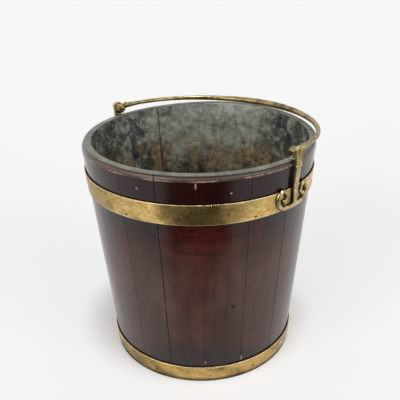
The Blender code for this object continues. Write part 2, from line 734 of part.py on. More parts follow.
def make_brackets(bracket_holes):
    """The right casting, and the left one as its mirror image."""
    strap = add_object("bracket_right", strap_mesh(), material=brass("bracket_right"))
    bead_back = strap_back(NECK_HEIGHT) + BEAD_OVERHANG / 2
    bead = box_mesh("bead", (bead_back, -STRAP_HALF_WIDTH - BEAD_OVERHANG, NECK_HEIGHT - BEAD_RADIUS),
                    (HEAD_FRONT + BEAD_OVERHANG, STRAP_HALF_WIDTH + BEAD_OVERHANG, NECK_HEIGHT + BEAD_RADIUS),
                    BEAD_OVERHANG)
    bead.transform(Matrix.Translation((0, lean(NECK_HEIGHT), 0)))
    lug = box_mesh("lug", (LUG_INNER, -LUG_HALF_WIDTH, LUG_BOTTOM),
                   (HEAD_BACK + HEAD_THICKNESS / 2, LUG_HALF_WIDTH, LUG_TOP), CAST_EDGE)
    lug_trim = LUG_HALF_WIDTH - STRAP_HALF_WIDTH
    for vertex in lug.vertices:
        if vertex.co.x > HEAD_BACK:
            vertex.co.y -= math.copysign(lug_trim, vertex.co.y)
    lug.transform(Matrix.Translation((0, lean(LUG_BOTTOM), 0)))
    for name, mesh in (("scroll_left", scroll_mesh(-1)), ("scroll_right", scroll_mesh(1)),
                       ("bead", bead), ("lug", lug)):
        boolean(strap, cutter(name, mesh), "UNION")
    bore = [(0, HEAD_THICKNESS * 2), (PIVOT_RIVET_RADIUS + FIT, HEAD_THICKNESS * 2),
            (PIVOT_RIVET_RADIUS + FIT, HEAD_THICKNESS - FIT),
            (PIVOT_RADIUS + FIT, HEAD_THICKNESS - PIVOT_RIVET_DEPTH - FIT),
            (PIVOT_RADIUS + FIT, -HEAD_THICKNESS), (0, -HEAD_THICKNESS)]
    bore_mesh = baked(turned("bore", bore, PIVOT_FACETS))
    bore_mesh.transform(Matrix.Translation((0, PIVOT_SHIFT, 0)) @ radial(0, HEAD_BACK, PIVOT_HEIGHT))
    boolean(strap, cutter("pivot_bore", bore_mesh), "DIFFERENCE")
    boolean(strap, bracket_holes, "DIFFERENCE")
    casting = baked(strap)
    smooth(casting)
    add_object("bracket_right", casting, material=brass("bracket_right"))
    add_object("bracket_left", mirrored(casting), material=brass("bracket_left"))


def make_bracket_rivets():
    """Rivets dressed off level with the casting. The holes go through it and the hoop."""
    bulb_thickness = BULB_RADIUS * SCROLL_THICKNESS / SCROLL_STROKE
    grip = HOOP_THICKNESS + FIT + bulb_thickness
    hole = cylinder_mesh("bracket_hole", RIVET_RADIUS + FIT, -HOOP_THICKNESS, 2 * grip)
    holes = copies("bracket_holes", hole, bracket_rivet_places(False) + bracket_rivet_places(True))
    bulb_rivet = cylinder_mesh("bulb_rivet", RIVET_RADIUS, 0, grip)
    foot_rivet = cylinder_mesh("foot_rivet", RIVET_RADIUS, 0, HOOP_THICKNESS + FIT + STRAP_THICKNESS)
    material = brass("bracket_rivet")
    for side, left in (("right", False), ("left", True)):
        places = bracket_rivet_places(left)
        place_each(f"bulb_rivet_{side}", bulb_rivet, places[:2], material)
        place_each(f"foot_rivet_{side}", foot_rivet, places[2:], material)
    return cutter("bracket_rivet_holes", holes)


# Pivot pins

def make_pivot_pins():
    """Round-knobbed pin, riveted over in the countersink of the bracket's head."""
    knob_seat = -EYE_THICKNESS - 2 * FIT
    steps = 5
    knob = [(PIVOT_KNOB_RADIUS * math.cos(angle), knob_seat - PIVOT_KNOB_LENGTH * math.sin(angle))
            for angle in [math.pi / 2 * step / steps for step in range(steps)]]
    profile = [(0, HEAD_THICKNESS), (PIVOT_RIVET_RADIUS, HEAD_THICKNESS),
               (PIVOT_RADIUS, HEAD_THICKNESS - PIVOT_RIVET_DEPTH), (PIVOT_RADIUS, knob_seat)]
    profile += knob + [(0, knob_seat - PIVOT_KNOB_LENGTH)]
    pin = baked(turned("pivot_pin", profile, PIVOT_FACETS))
    pin.transform(Matrix.Translation((0, PIVOT_SHIFT, 0)) @ radial(0, HEAD_BACK, PIVOT_HEIGHT))
    smooth(pin)
    add_object("pivot_pin_right", pin, material=brass("pivot_pin_right"))
    add_object("pivot_pin_left", mirrored(pin), material=brass("pivot_pin_left"))


# Bail

def rod_radius(share):
    """The rod is thick at its collars, narrow past them, and swells to the grip in the middle."""
    from_end = min(share, 1 - share)
    if from_end == 0:
        return ROD_NECK_RADIUS
    swell = math.sin(math.pi * share) ** ROD_GRIP_SHARPNESS
    flare = max(1 - from_end * math.pi * BAIL_REACH / ROD_FLARE_LENGTH, 0)
    narrow = ROD_NARROW_RADIUS + (ROD_END_RADIUS - ROD_NARROW_RADIUS) * flare
    return narrow + (ROD_GRIP_RADIUS - ROD_NARROW_RADIUS) * swell


def rod_bulge(angle):
    """How far the rod bows out from its ellipse at an angle from an end."""
    share = (min(angle, math.pi - angle) - ROD_BULGE_START) / (ROD_BULGE_END - ROD_BULGE_START)
    if share < 0 or share > 1:
        return 0.0
    return math.copysign(ROD_BULGE, math.cos(angle)) * math.sin(math.pi * share)


def rod_mesh():
    """The swelling rod, from one eye round the back to the other, about the pivot."""
    curve = bpy.data.curves.new("rod", "CURVE")
    curve.dimensions = "3D"
    curve.bevel_depth = 1.0
    curve.bevel_resolution = 3
    curve.use_fill_caps = True
    first = math.asin(ROD_START / BAIL_REACH)
    line = curve.splines.new("POLY")
    line.points.add(ROD_STEPS)
    for index, point in enumerate(line.points):
        share = index / ROD_STEPS
        angle = first + (math.pi - 2 * first) * share
        rise = ROD_END_RISE - (ROD_END_RISE + ROD_BACK_DROP) * math.sin(angle)
        point.co = (EYE_CENTRE * math.cos(angle) + rod_bulge(angle), BAIL_REACH * math.sin(angle), rise, 1)
        point.radius = rod_radius(share)
    return baked(add_object("rod", curve))


def make_bail():
    """Rod, eyes, heels and collars joined into one forging, with its eyes bored."""
    bail = add_object("bail", rod_mesh(), material=brass("bail"))
    bail.location = (0, PIVOT_SHIFT, PIVOT_HEIGHT)
    half = EYE_THICKNESS / 2
    turn_to_x = Matrix.Rotation(math.pi / 2, 4, "Y")
    turn_to_y = Matrix.Rotation(-math.pi / 2, 4, "X")
    for side, label in ((1, "right"), (-1, "left")):
        centre = side * EYE_CENTRE
        pivot = Matrix.Translation((centre, PIVOT_SHIFT, PIVOT_HEIGHT))
        eye = cylinder_mesh("eye_" + label, EYE_RADIUS, -half, half, EYE_FACETS)
        eye.transform(pivot @ turn_to_x)
        heel = box_mesh("heel_" + label, (-half, 0, HEEL_BOTTOM), (half, HEEL_LENGTH, HEEL_TOP), HEEL_EDGE)
        heel.transform(pivot)
        collar = cylinder_mesh("collar_" + label, COLLAR_RADIUS, 0, COLLAR_LENGTH, COLLAR_FACETS)
        collar.transform(pivot @ Matrix.Translation((0, COLLAR_START, ROD_END_RISE)) @ turn_to_y)
        for mesh in (eye, heel, collar):
            boolean(bail, cutter(mesh.name, mesh), "UNION")
    bore = cylinder_mesh("eye_bore", PIVOT_RADIUS + TURNING_FIT, -EYE_THICKNESS, EYE_THICKNESS,
                         PIVOT_FACETS)
    places = [Matrix.Translation((side * EYE_CENTRE, PIVOT_SHIFT, PIVOT_HEIGHT)) @ turn_to_x
              for side in (-1, 1)]
    boolean(bail, cutter("eye_bores", copies("eye_bores", bore, places)), "DIFFERENCE")
    smooth(bail.data)


pin_holes = make_pins()
for stave_number in range(STAVE_COUNT):
    make_stave(stave_number, pin_holes)
make_bottom()
bracket_holes = make_bracket_rivets()
make_hoop("upper_band", UPPER_HOOP_BOTTOM, UPPER_HOOP_HEIGHT, pin_holes, bracket_holes)
make_hoop("lower_band", LOWER_HOOP_BOTTOM, LOWER_HOOP_HEIGHT, pin_holes)
make_liner()
make_brackets(bracket_holes)
make_pivot_pins()
make_bail()
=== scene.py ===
# %% [markdown]
# # A coopered peat bucket
# A tapered bucket of mahogany staves, held by two brass hoops, with two cast
# brass brackets, a swinging bail and a sheet metal liner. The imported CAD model
# is the fixed frame. This script keeps its sizes and gives each piece the finer
# shape and the finish that the real one has.

# %% Load the frame
import math

import bmesh
import bpy
import numpy as np
from mathutils import Matrix, Vector


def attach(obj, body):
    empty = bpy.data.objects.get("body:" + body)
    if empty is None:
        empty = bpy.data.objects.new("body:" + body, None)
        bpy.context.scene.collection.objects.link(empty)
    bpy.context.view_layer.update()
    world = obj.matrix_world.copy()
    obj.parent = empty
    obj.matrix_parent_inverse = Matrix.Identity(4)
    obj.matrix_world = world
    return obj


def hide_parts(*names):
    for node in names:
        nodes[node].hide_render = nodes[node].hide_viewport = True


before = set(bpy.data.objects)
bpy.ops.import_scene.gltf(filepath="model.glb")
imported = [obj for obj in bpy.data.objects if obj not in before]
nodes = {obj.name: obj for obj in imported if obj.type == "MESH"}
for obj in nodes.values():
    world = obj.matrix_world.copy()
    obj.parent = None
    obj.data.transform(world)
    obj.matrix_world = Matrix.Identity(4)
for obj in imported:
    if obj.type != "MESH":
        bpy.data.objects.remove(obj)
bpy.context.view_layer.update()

# %% [markdown]
# ## Helpers for modelling by hand
# In a Blender with no window, spin and rotate turn the other way, so both get
# a negative angle.

# %% Select, enter edit mode and apply
AXIS = (0, 0, 1)
CENTRE = (0, 0, 0)
MERGE_WITHIN = 0.000002


def only(*pieces):
    """Leave edit mode and select these pieces alone."""
    if bpy.context.mode != "OBJECT":
        bpy.ops.object.mode_set(mode="OBJECT")
    bpy.ops.object.select_all(action="DESELECT")
    for piece in pieces:
        piece.select_set(True)
        bpy.context.view_layer.objects.active = piece


def edit(piece):
    """Enter edit mode with everything selected."""
    only(piece)
    bpy.ops.object.mode_set(mode="EDIT")
    bpy.ops.mesh.select_all(action="SELECT")


def pick(piece, kind, test):
    """In edit mode, select the verts or faces that pass a test."""
    bpy.ops.mesh.select_all(action="DESELECT")
    work = bmesh.from_edit_mesh(piece.data)
    for element in getattr(work, kind):
        if test(element):
            element.select_set(True)
    bmesh.update_edit_mesh(piece.data)


def settle(piece):
    """Apply the modifiers and the placing, so that the object sits at the origin."""
    only(piece)
    for modifier in list(piece.modifiers):
        bpy.ops.object.modifier_apply(modifier=modifier.name)
    bpy.ops.object.transform_apply(location=True, rotation=True, scale=True)


def outward(piece):
    """Merge doubles and turn all faces outwards."""
    edit(piece)
    bpy.ops.mesh.remove_doubles(threshold=MERGE_WITHIN)
    bpy.ops.mesh.normals_make_consistent(inside=False)
    only(piece)


def smooth(piece, angle=35):
    only(piece)
    bpy.ops.object.shade_smooth_by_angle(angle=math.radians(angle))


print("selected after loading:", len(bpy.context.selected_objects))
only()
print("selected now:", len(bpy.context.selected_objects))

# %% Add, draw, turn and copy
def added(name, add, **where):
    """Add one primitive, lamp, camera or curve, and name it."""
    only()
    add(**where)
    piece = bpy.context.object
    piece.name = name
    piece.data.name = name
    return piece


def draw(name, corners, closed=True):
    """Draw a line by extruding one vertex from corner to corner, and fill it."""
    piece = added(name, bpy.ops.mesh.primitive_plane_add, size=0.001)
    edit(piece)
    bpy.ops.mesh.merge(type="CENTER")
    bpy.ops.transform.translate(value=corners[0])
    for start, end in zip(corners, corners[1:]):
        step = [b - a for a, b in zip(start, end)]
        bpy.ops.mesh.extrude_vertices_move(TRANSFORM_OT_translate={"value": step})
    bpy.ops.mesh.select_all(action="SELECT")
    if closed:
        bpy.ops.mesh.edge_face_add()
    only(piece)
    return piece


def spin(angle, steps):
    """Carry the selection round the bucket's axis."""
    bpy.ops.mesh.spin(steps=steps, angle=-angle, center=CENTRE, axis=AXIS)


def turn(angle):
    """Turn the selection about the bucket's axis."""
    bpy.ops.transform.rotate(value=-angle, orient_axis="Z", center_override=CENTRE)


def copied(piece, name):
    """A copy with its own mesh."""
    twin = piece.copy()
    twin.data = piece.data.copy()
    twin.name = name
    twin.data.name = name
    bpy.context.scene.collection.objects.link(twin)
    return twin


def keep(piece, body, replaced):
    """Hand a finished piece to the frame."""
    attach(piece, body)
    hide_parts(*replaced)
    print(piece.name, "faces:", len(piece.data.polygons))


# %% [markdown]
# ## The stage and the camera
# The photo looks 24.6 degrees down at the bucket from 0.97 m, past the corner
# between the right bracket and the front. Framing by eye would never quite fit,
# so the camera was solved from the rim, the bands and the foot, and its
# position, lens and small roll are all known.

# %% Camera
PHOTO_TURN = math.radians(42)
LOOK_DOWN = 0.4299
ROLL = -0.0227
CAMERA_AT = Vector((0.5881, -0.6536, 0.6547))
LENS = 51.78
SENSOR_WIDTH = 36

camera = added("photo_camera", bpy.ops.object.camera_add)
camera.data.sensor_width = SENSOR_WIDTH
camera.data.lens = LENS
camera.matrix_world = (Matrix.Translation(CAMERA_AT) @ Matrix.Rotation(PHOTO_TURN, 4, "Z")
                       @ Matrix.Rotation(math.pi / 2 - LOOK_DOWN, 4, "X") @ Matrix.Rotation(ROLL, 4, "Z"))
bpy.context.scene.camera = camera
print("camera", tuple(round(c, 4) for c in camera.location), "lens", LENS)

# %% [markdown]
# ## Colours and nodes
# Colours are picked as sRGB hex values, as on a colour chart, and one function
# turns them to the linear values that shaders work in. Nodes could be wired by
# hand one line at a time. One small function that adds a node, sets its options
# and fills its sockets keeps each pattern to a line or two.

# %% Colour and node helpers
def colour(code):
    """Linear RGBA of an sRGB hex colour."""
    parts = [int(code[start:start + 2], 16) / 255 for start in (0, 2, 4)]
    return (*[c / 12.92 if c <= 0.04045 else ((c + 0.055) / 1.055) ** 2.4 for c in parts], 1)


def plug(tree, node, sockets):
    """Fill sockets with values, with outputs, or with nodes by their first output in use."""
    for socket, value in sockets.items():
        if isinstance(value, bpy.types.Node):
            value = next(output for output in value.outputs if output.enabled)
        if isinstance(value, bpy.types.NodeSocket):
            tree.links.new(value, node.inputs[socket])
        else:
            node.inputs[socket].default_value = value


def put(tree, kind, sockets, **options):
    """Add a node with its options, and fill its sockets."""
    made = tree.nodes.new("ShaderNode" + kind)
    for name, value in options.items():
        setattr(made, name, value)
    plug(tree, made, sockets)
    return made


def finish(name):
    """A new material, its node tree, its shader and the object coordinates."""
    material = bpy.data.materials.new(name)
    material.use_nodes = True
    tree = material.node_tree
    place = put(tree, "TexCoord", {}).outputs["Object"]
    return material, tree, tree.nodes["Principled BSDF"], place


def cloud(tree, place, scale, detail=3.0, roughness=0.5, warp=0.0, shift=(0, 0, 0)):
    """Noise with so many patches per metre along X, Y and Z, slid by a number of patches."""
    mapped = put(tree, "Mapping", {"Vector": place, "Location": shift, "Scale": scale})
    return put(tree, "TexNoise", {"Vector": mapped, "Scale": 1.0, "Detail": detail,
                                  "Roughness": roughness, "Distortion": warp})


print("a middle grey, 808080, is", round(colour("808080")[0], 3), "in linear light")

# %% [markdown]
# ## Sizes of the coopered body
# The pieces have to lie where the CAD solids lie, and this script can't read
# their source, so these repeat its values in metres.

# %% Body sizes
FIT = 0.0003
FOOT_RADIUS = 0.1525
RIM_RADIUS = 0.185
ARRIS_HEIGHT = 0.362
NOSING_HEIGHT = 0.0065
NOSING_WIDTH = 0.0050
LEDGE = 0.0005
STAVE_WALL = 0.0100
RIM_TOP = ARRIS_HEIGHT + NOSING_HEIGHT
SLOPE = (RIM_RADIUS - FOOT_RADIUS) / ARRIS_HEIGHT
STAVE_COUNT = 18
SEAM_START = math.radians(-5.7)
SEAM_VARIATION = math.radians(2.2)
STAVES_PER_VARIATION = 6


def wall_radius(height):
    return FOOT_RADIUS + SLOPE * height


def seam_azimuth(index):
    """Direction of a seam: the staves are of uneven widths."""
    phase = 2 * math.pi * (index + 1) / STAVES_PER_VARIATION
    return SEAM_START + 2 * math.pi * index / STAVE_COUNT + SEAM_VARIATION * math.sin(phase)


print("rim top at", round(RIM_TOP, 4), "slope", round(SLOPE, 4))

# %% [markdown]
# ## French-polished mahogany
# Old mahogany is dark red, with fine pores that run up each stave. Years of
# shellac make it deep and glossy where it is handled and hazy where it isn't.
# The grey-red haze lower down is partly that dull polish and partly a painted
# reflection of the pale floor. Near the rim the wood is painted darker: painted
# shade for the dark front of the room that it mirrors there.
# Noise on plain object coordinates would run straight on over the seams. So the
# grain reads an attribute of the piece's own, which gives each board its own
# figure: metres across the stave, metres up it, and the stave's number.

# %% Mahogany colours and pattern sizes
PORES_ACROSS = 1 / 0.0026      # pores are under 1 mm apart, drawn coarser so that they show
PORES_ALONG = 1 / 0.016
RIPPLES = 1 / 0.0054           # curly grain crosses the stave about every 5 mm
NEXT_BOARD = 3.1               # patches that the noise moves on from one stave to the next
DEEP_RED = colour("430D08")
DARK_RED = colour("1E0503")
WARM_RED = colour("5C1D12")
HAZE_AND_REFLECTION = colour("6C5149")
GRIME_AND_SHADE = colour("1A1A17")
RAW_WOOD_AND_HIGHLIGHT = colour("B79C8A")
SEAM_DIRT = colour("080504")
CURLY_AT = (0.1178, -0.1308, 0.262)
print("pores are drawn", round(1000 / PORES_ACROSS, 1), "mm apart, ripples", round(1000 / RIPPLES, 1), "mm")

# %% Marks: one spot, strewn nicks, and dirt and painted shade in hollows
def mark(tree, place, spot, size, stretch=1.0):
    """1 inside a small spot at a place on the piece, stretched along its height."""
    offset = put(tree, "VectorMath", {0: place, 1: spot}, operation="SUBTRACT")
    offset = put(tree, "VectorMath", {0: offset, 1: (1, 1, 1 / stretch)}, operation="MULTIPLY")
    far = put(tree, "VectorMath", {0: offset}, operation="LENGTH")
    return put(tree, "MapRange", {0: far, 1: size, 2: size * 0.5}, interpolation_type="SMOOTHSTEP")


def nicks(tree, place, cells, radius, share, strength):
    """Small spots strewn at random, in a share of the cells of a cell pattern."""
    cell = put(tree, "TexVoronoi", {"Vector": place, "Scale": cells}).outputs
    lucky = put(tree, "SeparateColor", {0: cell["Color"]}).outputs[0]
    chosen = put(tree, "Math", {0: lucky, 1: share}, operation="LESS_THAN")
    far = radius * cells
    spot = put(tree, "MapRange", {0: cell["Distance"], 1: far, 2: far / 2, 4: strength})
    return put(tree, "Math", {0: spot, 1: chosen}, operation="MULTIPLY")


def dirt_and_shade_in_hollows(tree, reach, clean, filled, most):
    """How dark the surface gets where it closes in on itself, within a reach in metres: partly dirt and
    partly painted shade.
    """
    open_air = put(tree, "AmbientOcclusion", {"Distance": reach}, samples=6).outputs["AO"]
    return put(tree, "MapRange", {0: open_air, 1: clean, 2: filled, 4: most})


# %% Figure of the wood: stripes, pores and ripples
def mahogany_figure(tree, board, place):
    """Bare colour of the wood, and the pores and ripples that its bump needs too."""
    number = put(tree, "SeparateXYZ", {0: board}).outputs["Z"]
    tone = put(tree, "TexWhiteNoise", {"W": number}, noise_dimensions="1D").outputs["Value"]
    stripes = cloud(tree, board, (75, 2.2, NEXT_BOARD), 4.0, 0.55, 0.4)
    warmth = put(tree, "Math", {0: tone, 1: 0.3, 2: stripes}, operation="MULTIPLY_ADD")
    pores = cloud(tree, board, (PORES_ACROSS, PORES_ALONG, NEXT_BOARD), 4.0, 0.65)

    ripples = cloud(tree, board, (32, RIPPLES, NEXT_BOARD), 2.0, 0.45, 0.9)
    ripples = put(tree, "MapRange", {0: ripples, 1: 0.36, 2: 0.64})
    patch = cloud(tree, board, (14, 9, NEXT_BOARD), 2.0)
    patch = put(tree, "MapRange", {0: patch, 1: 0.48, 2: 0.66, 4: 0.34})
    curly = put(tree, "Math", {0: mark(tree, place, CURLY_AT, 0.085, 0.6), 1: 0.75}, operation="MULTIPLY")
    patch = put(tree, "Math", {0: patch, 1: curly}, operation="MAXIMUM")
    rippled = put(tree, "Math", {0: ripples, 1: patch}, operation="MULTIPLY")

    wood = DARK_RED
    for share, over in ((put(tree, "MapRange", {0: stripes, 1: 0.3, 2: 0.68}), DEEP_RED),
                        (put(tree, "MapRange", {0: warmth, 1: 0.6, 2: 1.0, 4: 0.5}), WARM_RED),
                        (put(tree, "MapRange", {0: pores, 1: 0.48, 2: 0.64, 4: 0.75}), DARK_RED),
                        (rippled, WARM_RED)):
        wood = put(tree, "Mix", {0: share, 6: wood, 7: over}, data_type="RGBA")
    return wood, pores, rippled


# %% Wear on the seams, wear and a painted highlight on the arris, chips, dents and smudges
CHIPS = (((0.1408, -0.0668, 0.0371), 0.0016, 4.0), ((0.1063, -0.1142, 0.0389), 0.0014, 2.0),
         ((0.1190, -0.1409, 0.3558), 0.0014, 5.0), ((0.0444, -0.1780, 0.3452), 0.0020, 1.0),
         ((0.1505, -0.1045, 0.3418), 0.0018, 1.2))
SMUDGE = (0.141, -0.0871, 0.1469)
# Dark spots near the hoops, each a place, a size and a stretch: grime, but the last, beside the right
# bracket's strap, is partly dirt and partly a painted shadow of the strap.
GRIMY_AND_SHADED_SPOTS = (((0.0180, -0.1769, 0.2954), 0.075, 0.7), ((0.1777, 0.0040, 0.3000), 0.062, 1.2),
         ((0.0894, -0.1202, 0.0250), 0.115, 0.6), ((0.1374, -0.0670, 0.0300), 0.070, 0.5),
         ((0.1825, -0.0135, 0.3440), 0.008, 3.0))


def mahogany_wear(tree, place, height, to_seam):
    """How far the polish is worn to raw wood, with a pale line on the arris and its lip that is partly wear
    and partly a painted highlight, and how much dirt lies in the dents.
    """
    noise = cloud(tree, place, (160, 160, 60), 4.0, 0.7)
    broad = cloud(tree, place, (30, 30, 9), 3.0, 0.6)
    near_seam = put(tree, "MapRange", {0: to_seam, 1: 0.0026, 2: 0.0009, 4: 0.3})
    thin = put(tree, "MapRange", {0: noise, 1: 0.58, 2: 0.72})
    wear_and_edge_highlight = put(tree, "Math", {0: near_seam, 1: thin}, operation="MULTIPLY")
    # The pale line on the arris and the ledge above it is partly worn wood and partly a painted highlight
    # where the edge catches the light.
    above_arris = put(tree, "Math", {0: height, 1: ARRIS_HEIGHT}, operation="SUBTRACT")
    from_arris = put(tree, "Math", {0: above_arris}, operation="ABSOLUTE")
    near_arris = put(tree, "MapRange", {0: from_arris, 1: 0.0014, 2: 0.0003})
    rubbed = put(tree, "Math", {0: noise, 1: broad}, operation="ADD")
    rubbed = put(tree, "MapRange", {0: rubbed, 1: 0.92, 2: 1.16, 3: 0.1, 4: 0.85})
    arris_wear_and_highlight = put(tree, "Math", {0: near_arris, 1: rubbed}, operation="MULTIPLY")
    lip_wear_and_highlight = put(tree, "MapRange", {0: above_arris, 1: 0.0006, 2: 0.0016, 4: 0.24})
    chips = [mark(tree, place, spot, size, stretch) for spot, size, stretch in CHIPS]
    for wear in (arris_wear_and_highlight, lip_wear_and_highlight, nicks(tree, place, 42, 0.0009, 0.22, 0.7), *chips):
        wear_and_edge_highlight = put(tree, "Math", {0: wear_and_edge_highlight, 1: wear}, operation="MAXIMUM")

    dents = nicks(tree, place, 31, 0.0017, 0.3, 0.75)
    slanting = put(tree, "Mapping", {"Vector": place, "Rotation": (0.5, 0.6, 0.3), "Scale": (14, 14, 300)})
    scars = put(tree, "TexNoise", {"Vector": slanting, "Scale": 1.0, "Detail": 1.0})
    scars = put(tree, "MapRange", {0: scars, 1: 0.66, 2: 0.73, 4: 0.5})
    for dent in (mark(tree, place, SMUDGE, 0.005), scars):
        dents = put(tree, "Math", {0: dents, 1: dent}, operation="MAXIMUM")
    return wear_and_edge_highlight, dents


def mahogany_grime_and_shade(tree, place):
    """Old wax and soot, thick in a few places by the hoops; a spot beside the right bracket's strap that is
    partly dirt and partly a painted shadow; and a dark line against the brass, partly dirt and partly painted
    shade.
    """
    uneven = cloud(tree, place, (60, 60, 14), 7.0, 0.7)
    uneven = put(tree, "MapRange", {0: uneven, 1: 0.36, 2: 0.64, 3: 0.25, 4: 0.95})
    grime_and_shade = 0.0
    for spot, size, stretch in GRIMY_AND_SHADED_SPOTS:
        grime_and_shade = put(tree, "Math", {0: grime_and_shade, 1: mark(tree, place, spot, size, stretch)}, operation="MAXIMUM")
    grime_and_shade = put(tree, "Math", {0: grime_and_shade, 1: uneven}, operation="MULTIPLY")
    # The dark line against the brass is partly dirt and partly painted shade.
    return put(tree, "Math", {0: grime_and_shade, 1: dirt_and_shade_in_hollows(tree, 0.006, 0.9, 0.5, 0.9)}, operation="MAXIMUM")


# %% Mahogany
def mahogany():
    """To the eye: dark red under a clear coat, with painted shade high up and a grey-red haze lower down,
    partly dull polish and partly a painted reflection of the pale floor.
    """
    material, tree, shader, place = finish("french_polished_mahogany")
    board = put(tree, "Attribute", {}, attribute_name="board").outputs["Vector"]
    to_seam = put(tree, "Attribute", {}, attribute_name="to_seam").outputs["Fac"]
    height = put(tree, "SeparateXYZ", {0: place}).outputs["Z"]
    wood, pores, rippled = mahogany_figure(tree, board, place)
    wear_and_edge_highlight, dents = mahogany_wear(tree, place, height, to_seam)

    # Painted shade: near the rim the wood is painted darker, for the dark front of the room that it mirrors
    # there.
    shade_near_rim = put(tree, "MapRange", {0: height, 1: 0.26, 2: 0.33, 4: 0.75})
    # The haze is partly dull polish and partly a painted reflection of the pale floor, weaker near the foot
    # and gone above 0.275 m.
    film = put(tree, "MapRange", {0: cloud(tree, place, (26, 26, 11), 8.0, 0.7), 1: 0.42, 2: 0.70, 4: 0.45})
    haze_and_reflection = put(tree, "Math", {0: 0.32, 1: film}, operation="ADD")
    by_foot = put(tree, "MapRange", {0: height, 1: 0.04, 2: 0.15, 3: 0.35})
    low = put(tree, "MapRange", {0: height, 1: 0.275, 2: 0.200})
    for share in (by_foot, low):
        haze_and_reflection = put(tree, "Math", {0: haze_and_reflection, 1: share}, operation="MULTIPLY")
    dirty_seam = put(tree, "MapRange", {0: to_seam, 1: 0.0008, 2: 0.0003})
    for share, over in ((shade_near_rim, DARK_RED), (haze_and_reflection, HAZE_AND_REFLECTION), (mahogany_grime_and_shade(tree, place), GRIME_AND_SHADE),
                        (wear_and_edge_highlight, RAW_WOOD_AND_HIGHLIGHT), (dents, SEAM_DIRT), (dirty_seam, SEAM_DIRT)):
        wood = put(tree, "Mix", {0: share, 6: wood, 7: over}, data_type="RGBA")

    dull = put(tree, "MapRange", {0: haze_and_reflection, 1: 0.0, 2: 0.6, 3: 0.34, 4: 0.55})
    dull = put(tree, "Math", {0: pores, 1: 0.12, 2: dull}, operation="MULTIPLY_ADD")
    waves = cloud(tree, board, (40, 8, NEXT_BOARD), 2.0)
    waves = put(tree, "Math", {0: rippled, 1: 0.12, 2: waves}, operation="MULTIPLY_ADD")
    relief = put(tree, "Math", {0: pores, 1: -0.2, 2: waves}, operation="MULTIPLY_ADD")
    plug(tree, shader, {"Base Color": wood, "Roughness": dull, "Specular IOR Level": 0.1, "Coat Weight": 0.8,
                        "Coat Roughness": 0.13, "Coat IOR": 1.4,
                        "Normal": put(tree, "Bump", {"Height": relief, "Distance": 0.0003})})
    return material


MAHOGANY = mahogany()
print("material", MAHOGANY.name)

# %% [markdown]
# ## The staves
# A stave is a board with a rounded lip at the top, a groove for the bottom and a
# bevel inside the foot. One ring cut at the seams would be quicker, but each
# stave is a board of its own. So one section is drawn and filled, then copied,
# turned to each seam and spun by that stave's own width. Where the wood has
# shrunk a seam stands open as a dark line. The others are still tight and almost
# hidden under the polish, so they get a finer gap.

# %% Stave section
GROOVE_BOTTOM = 0.0182
GROOVE_HEIGHT = 0.0066
GROOVE_DEPTH = 0.0045
CHIME_HEIGHT = 0.006
CHIME_WIDTH = 0.003
FOOT_EDGE = 0.0006
NOSING_STEPS = 7


def inner_radius(height):
    return wall_radius(height) - STAVE_WALL


def nosing_point(step):
    """Corner of the rounded lip, set back by a small ledge that catches the light."""
    angle = math.pi / 2 * step / NOSING_STEPS
    return (RIM_RADIUS - LEDGE - (NOSING_WIDTH - LEDGE) * (1 - math.cos(angle)), 0,
            ARRIS_HEIGHT + LEDGE / 2 + (NOSING_HEIGHT - LEDGE / 2) * math.sin(angle))


groove_top = GROOVE_BOTTOM + GROOVE_HEIGHT
wall_levels = [FOOT_EDGE] + [share * ARRIS_HEIGHT for share in (0.25, 0.5, 0.75, 1)]
stave_corners = [(wall_radius(level), 0, level) for level in wall_levels]
stave_corners += [nosing_point(step) for step in range(NOSING_STEPS + 1)]
stave_corners += [(inner_radius(RIM_TOP), 0, RIM_TOP), (inner_radius(groove_top), 0, groove_top),
                  (inner_radius(groove_top) + GROOVE_DEPTH, 0, groove_top),
                  (inner_radius(GROOVE_BOTTOM) + GROOVE_DEPTH, 0, GROOVE_BOTTOM),
                  (inner_radius(GROOVE_BOTTOM), 0, GROOVE_BOTTOM),
                  (inner_radius(CHIME_HEIGHT), 0, CHIME_HEIGHT),
                  (inner_radius(0) + CHIME_WIDTH, 0, 0), (wall_radius(0) - FOOT_EDGE, 0, 0)]
stave_section = draw("stave_section", stave_corners)
print("section corners:", len(stave_corners))

# %% Open and tight seams
OPEN_GAP = 0.0005
HALF_OPEN_GAP = 0.0003
TIGHT_GAP = 0.0001
SEAMS_PER_OPENING = 3


def seam_gap(index):
    """Every third seam has opened, and the one before it a little."""
    if index % SEAMS_PER_OPENING == 0:
        return OPEN_GAP
    return HALF_OPEN_GAP if index % SEAMS_PER_OPENING == SEAMS_PER_OPENING - 1 else TIGHT_GAP


print("seam gaps in mm:", [round(1000 * seam_gap(index), 1) for index in range(STAVE_COUNT)])

# %% Spin eighteen staves
STAVE_STEPS = 7
SEAM_ROUNDING = 0.0003


def filed(piece, width, segments, angle):
    """Round the edges that turn by more than an angle in degrees."""
    bevel = piece.modifiers.new("Rounded edges", "BEVEL")
    bevel.width = width
    bevel.segments = segments
    bevel.limit_method = "ANGLE"
    bevel.angle_limit = math.radians(angle)
    settle(piece)


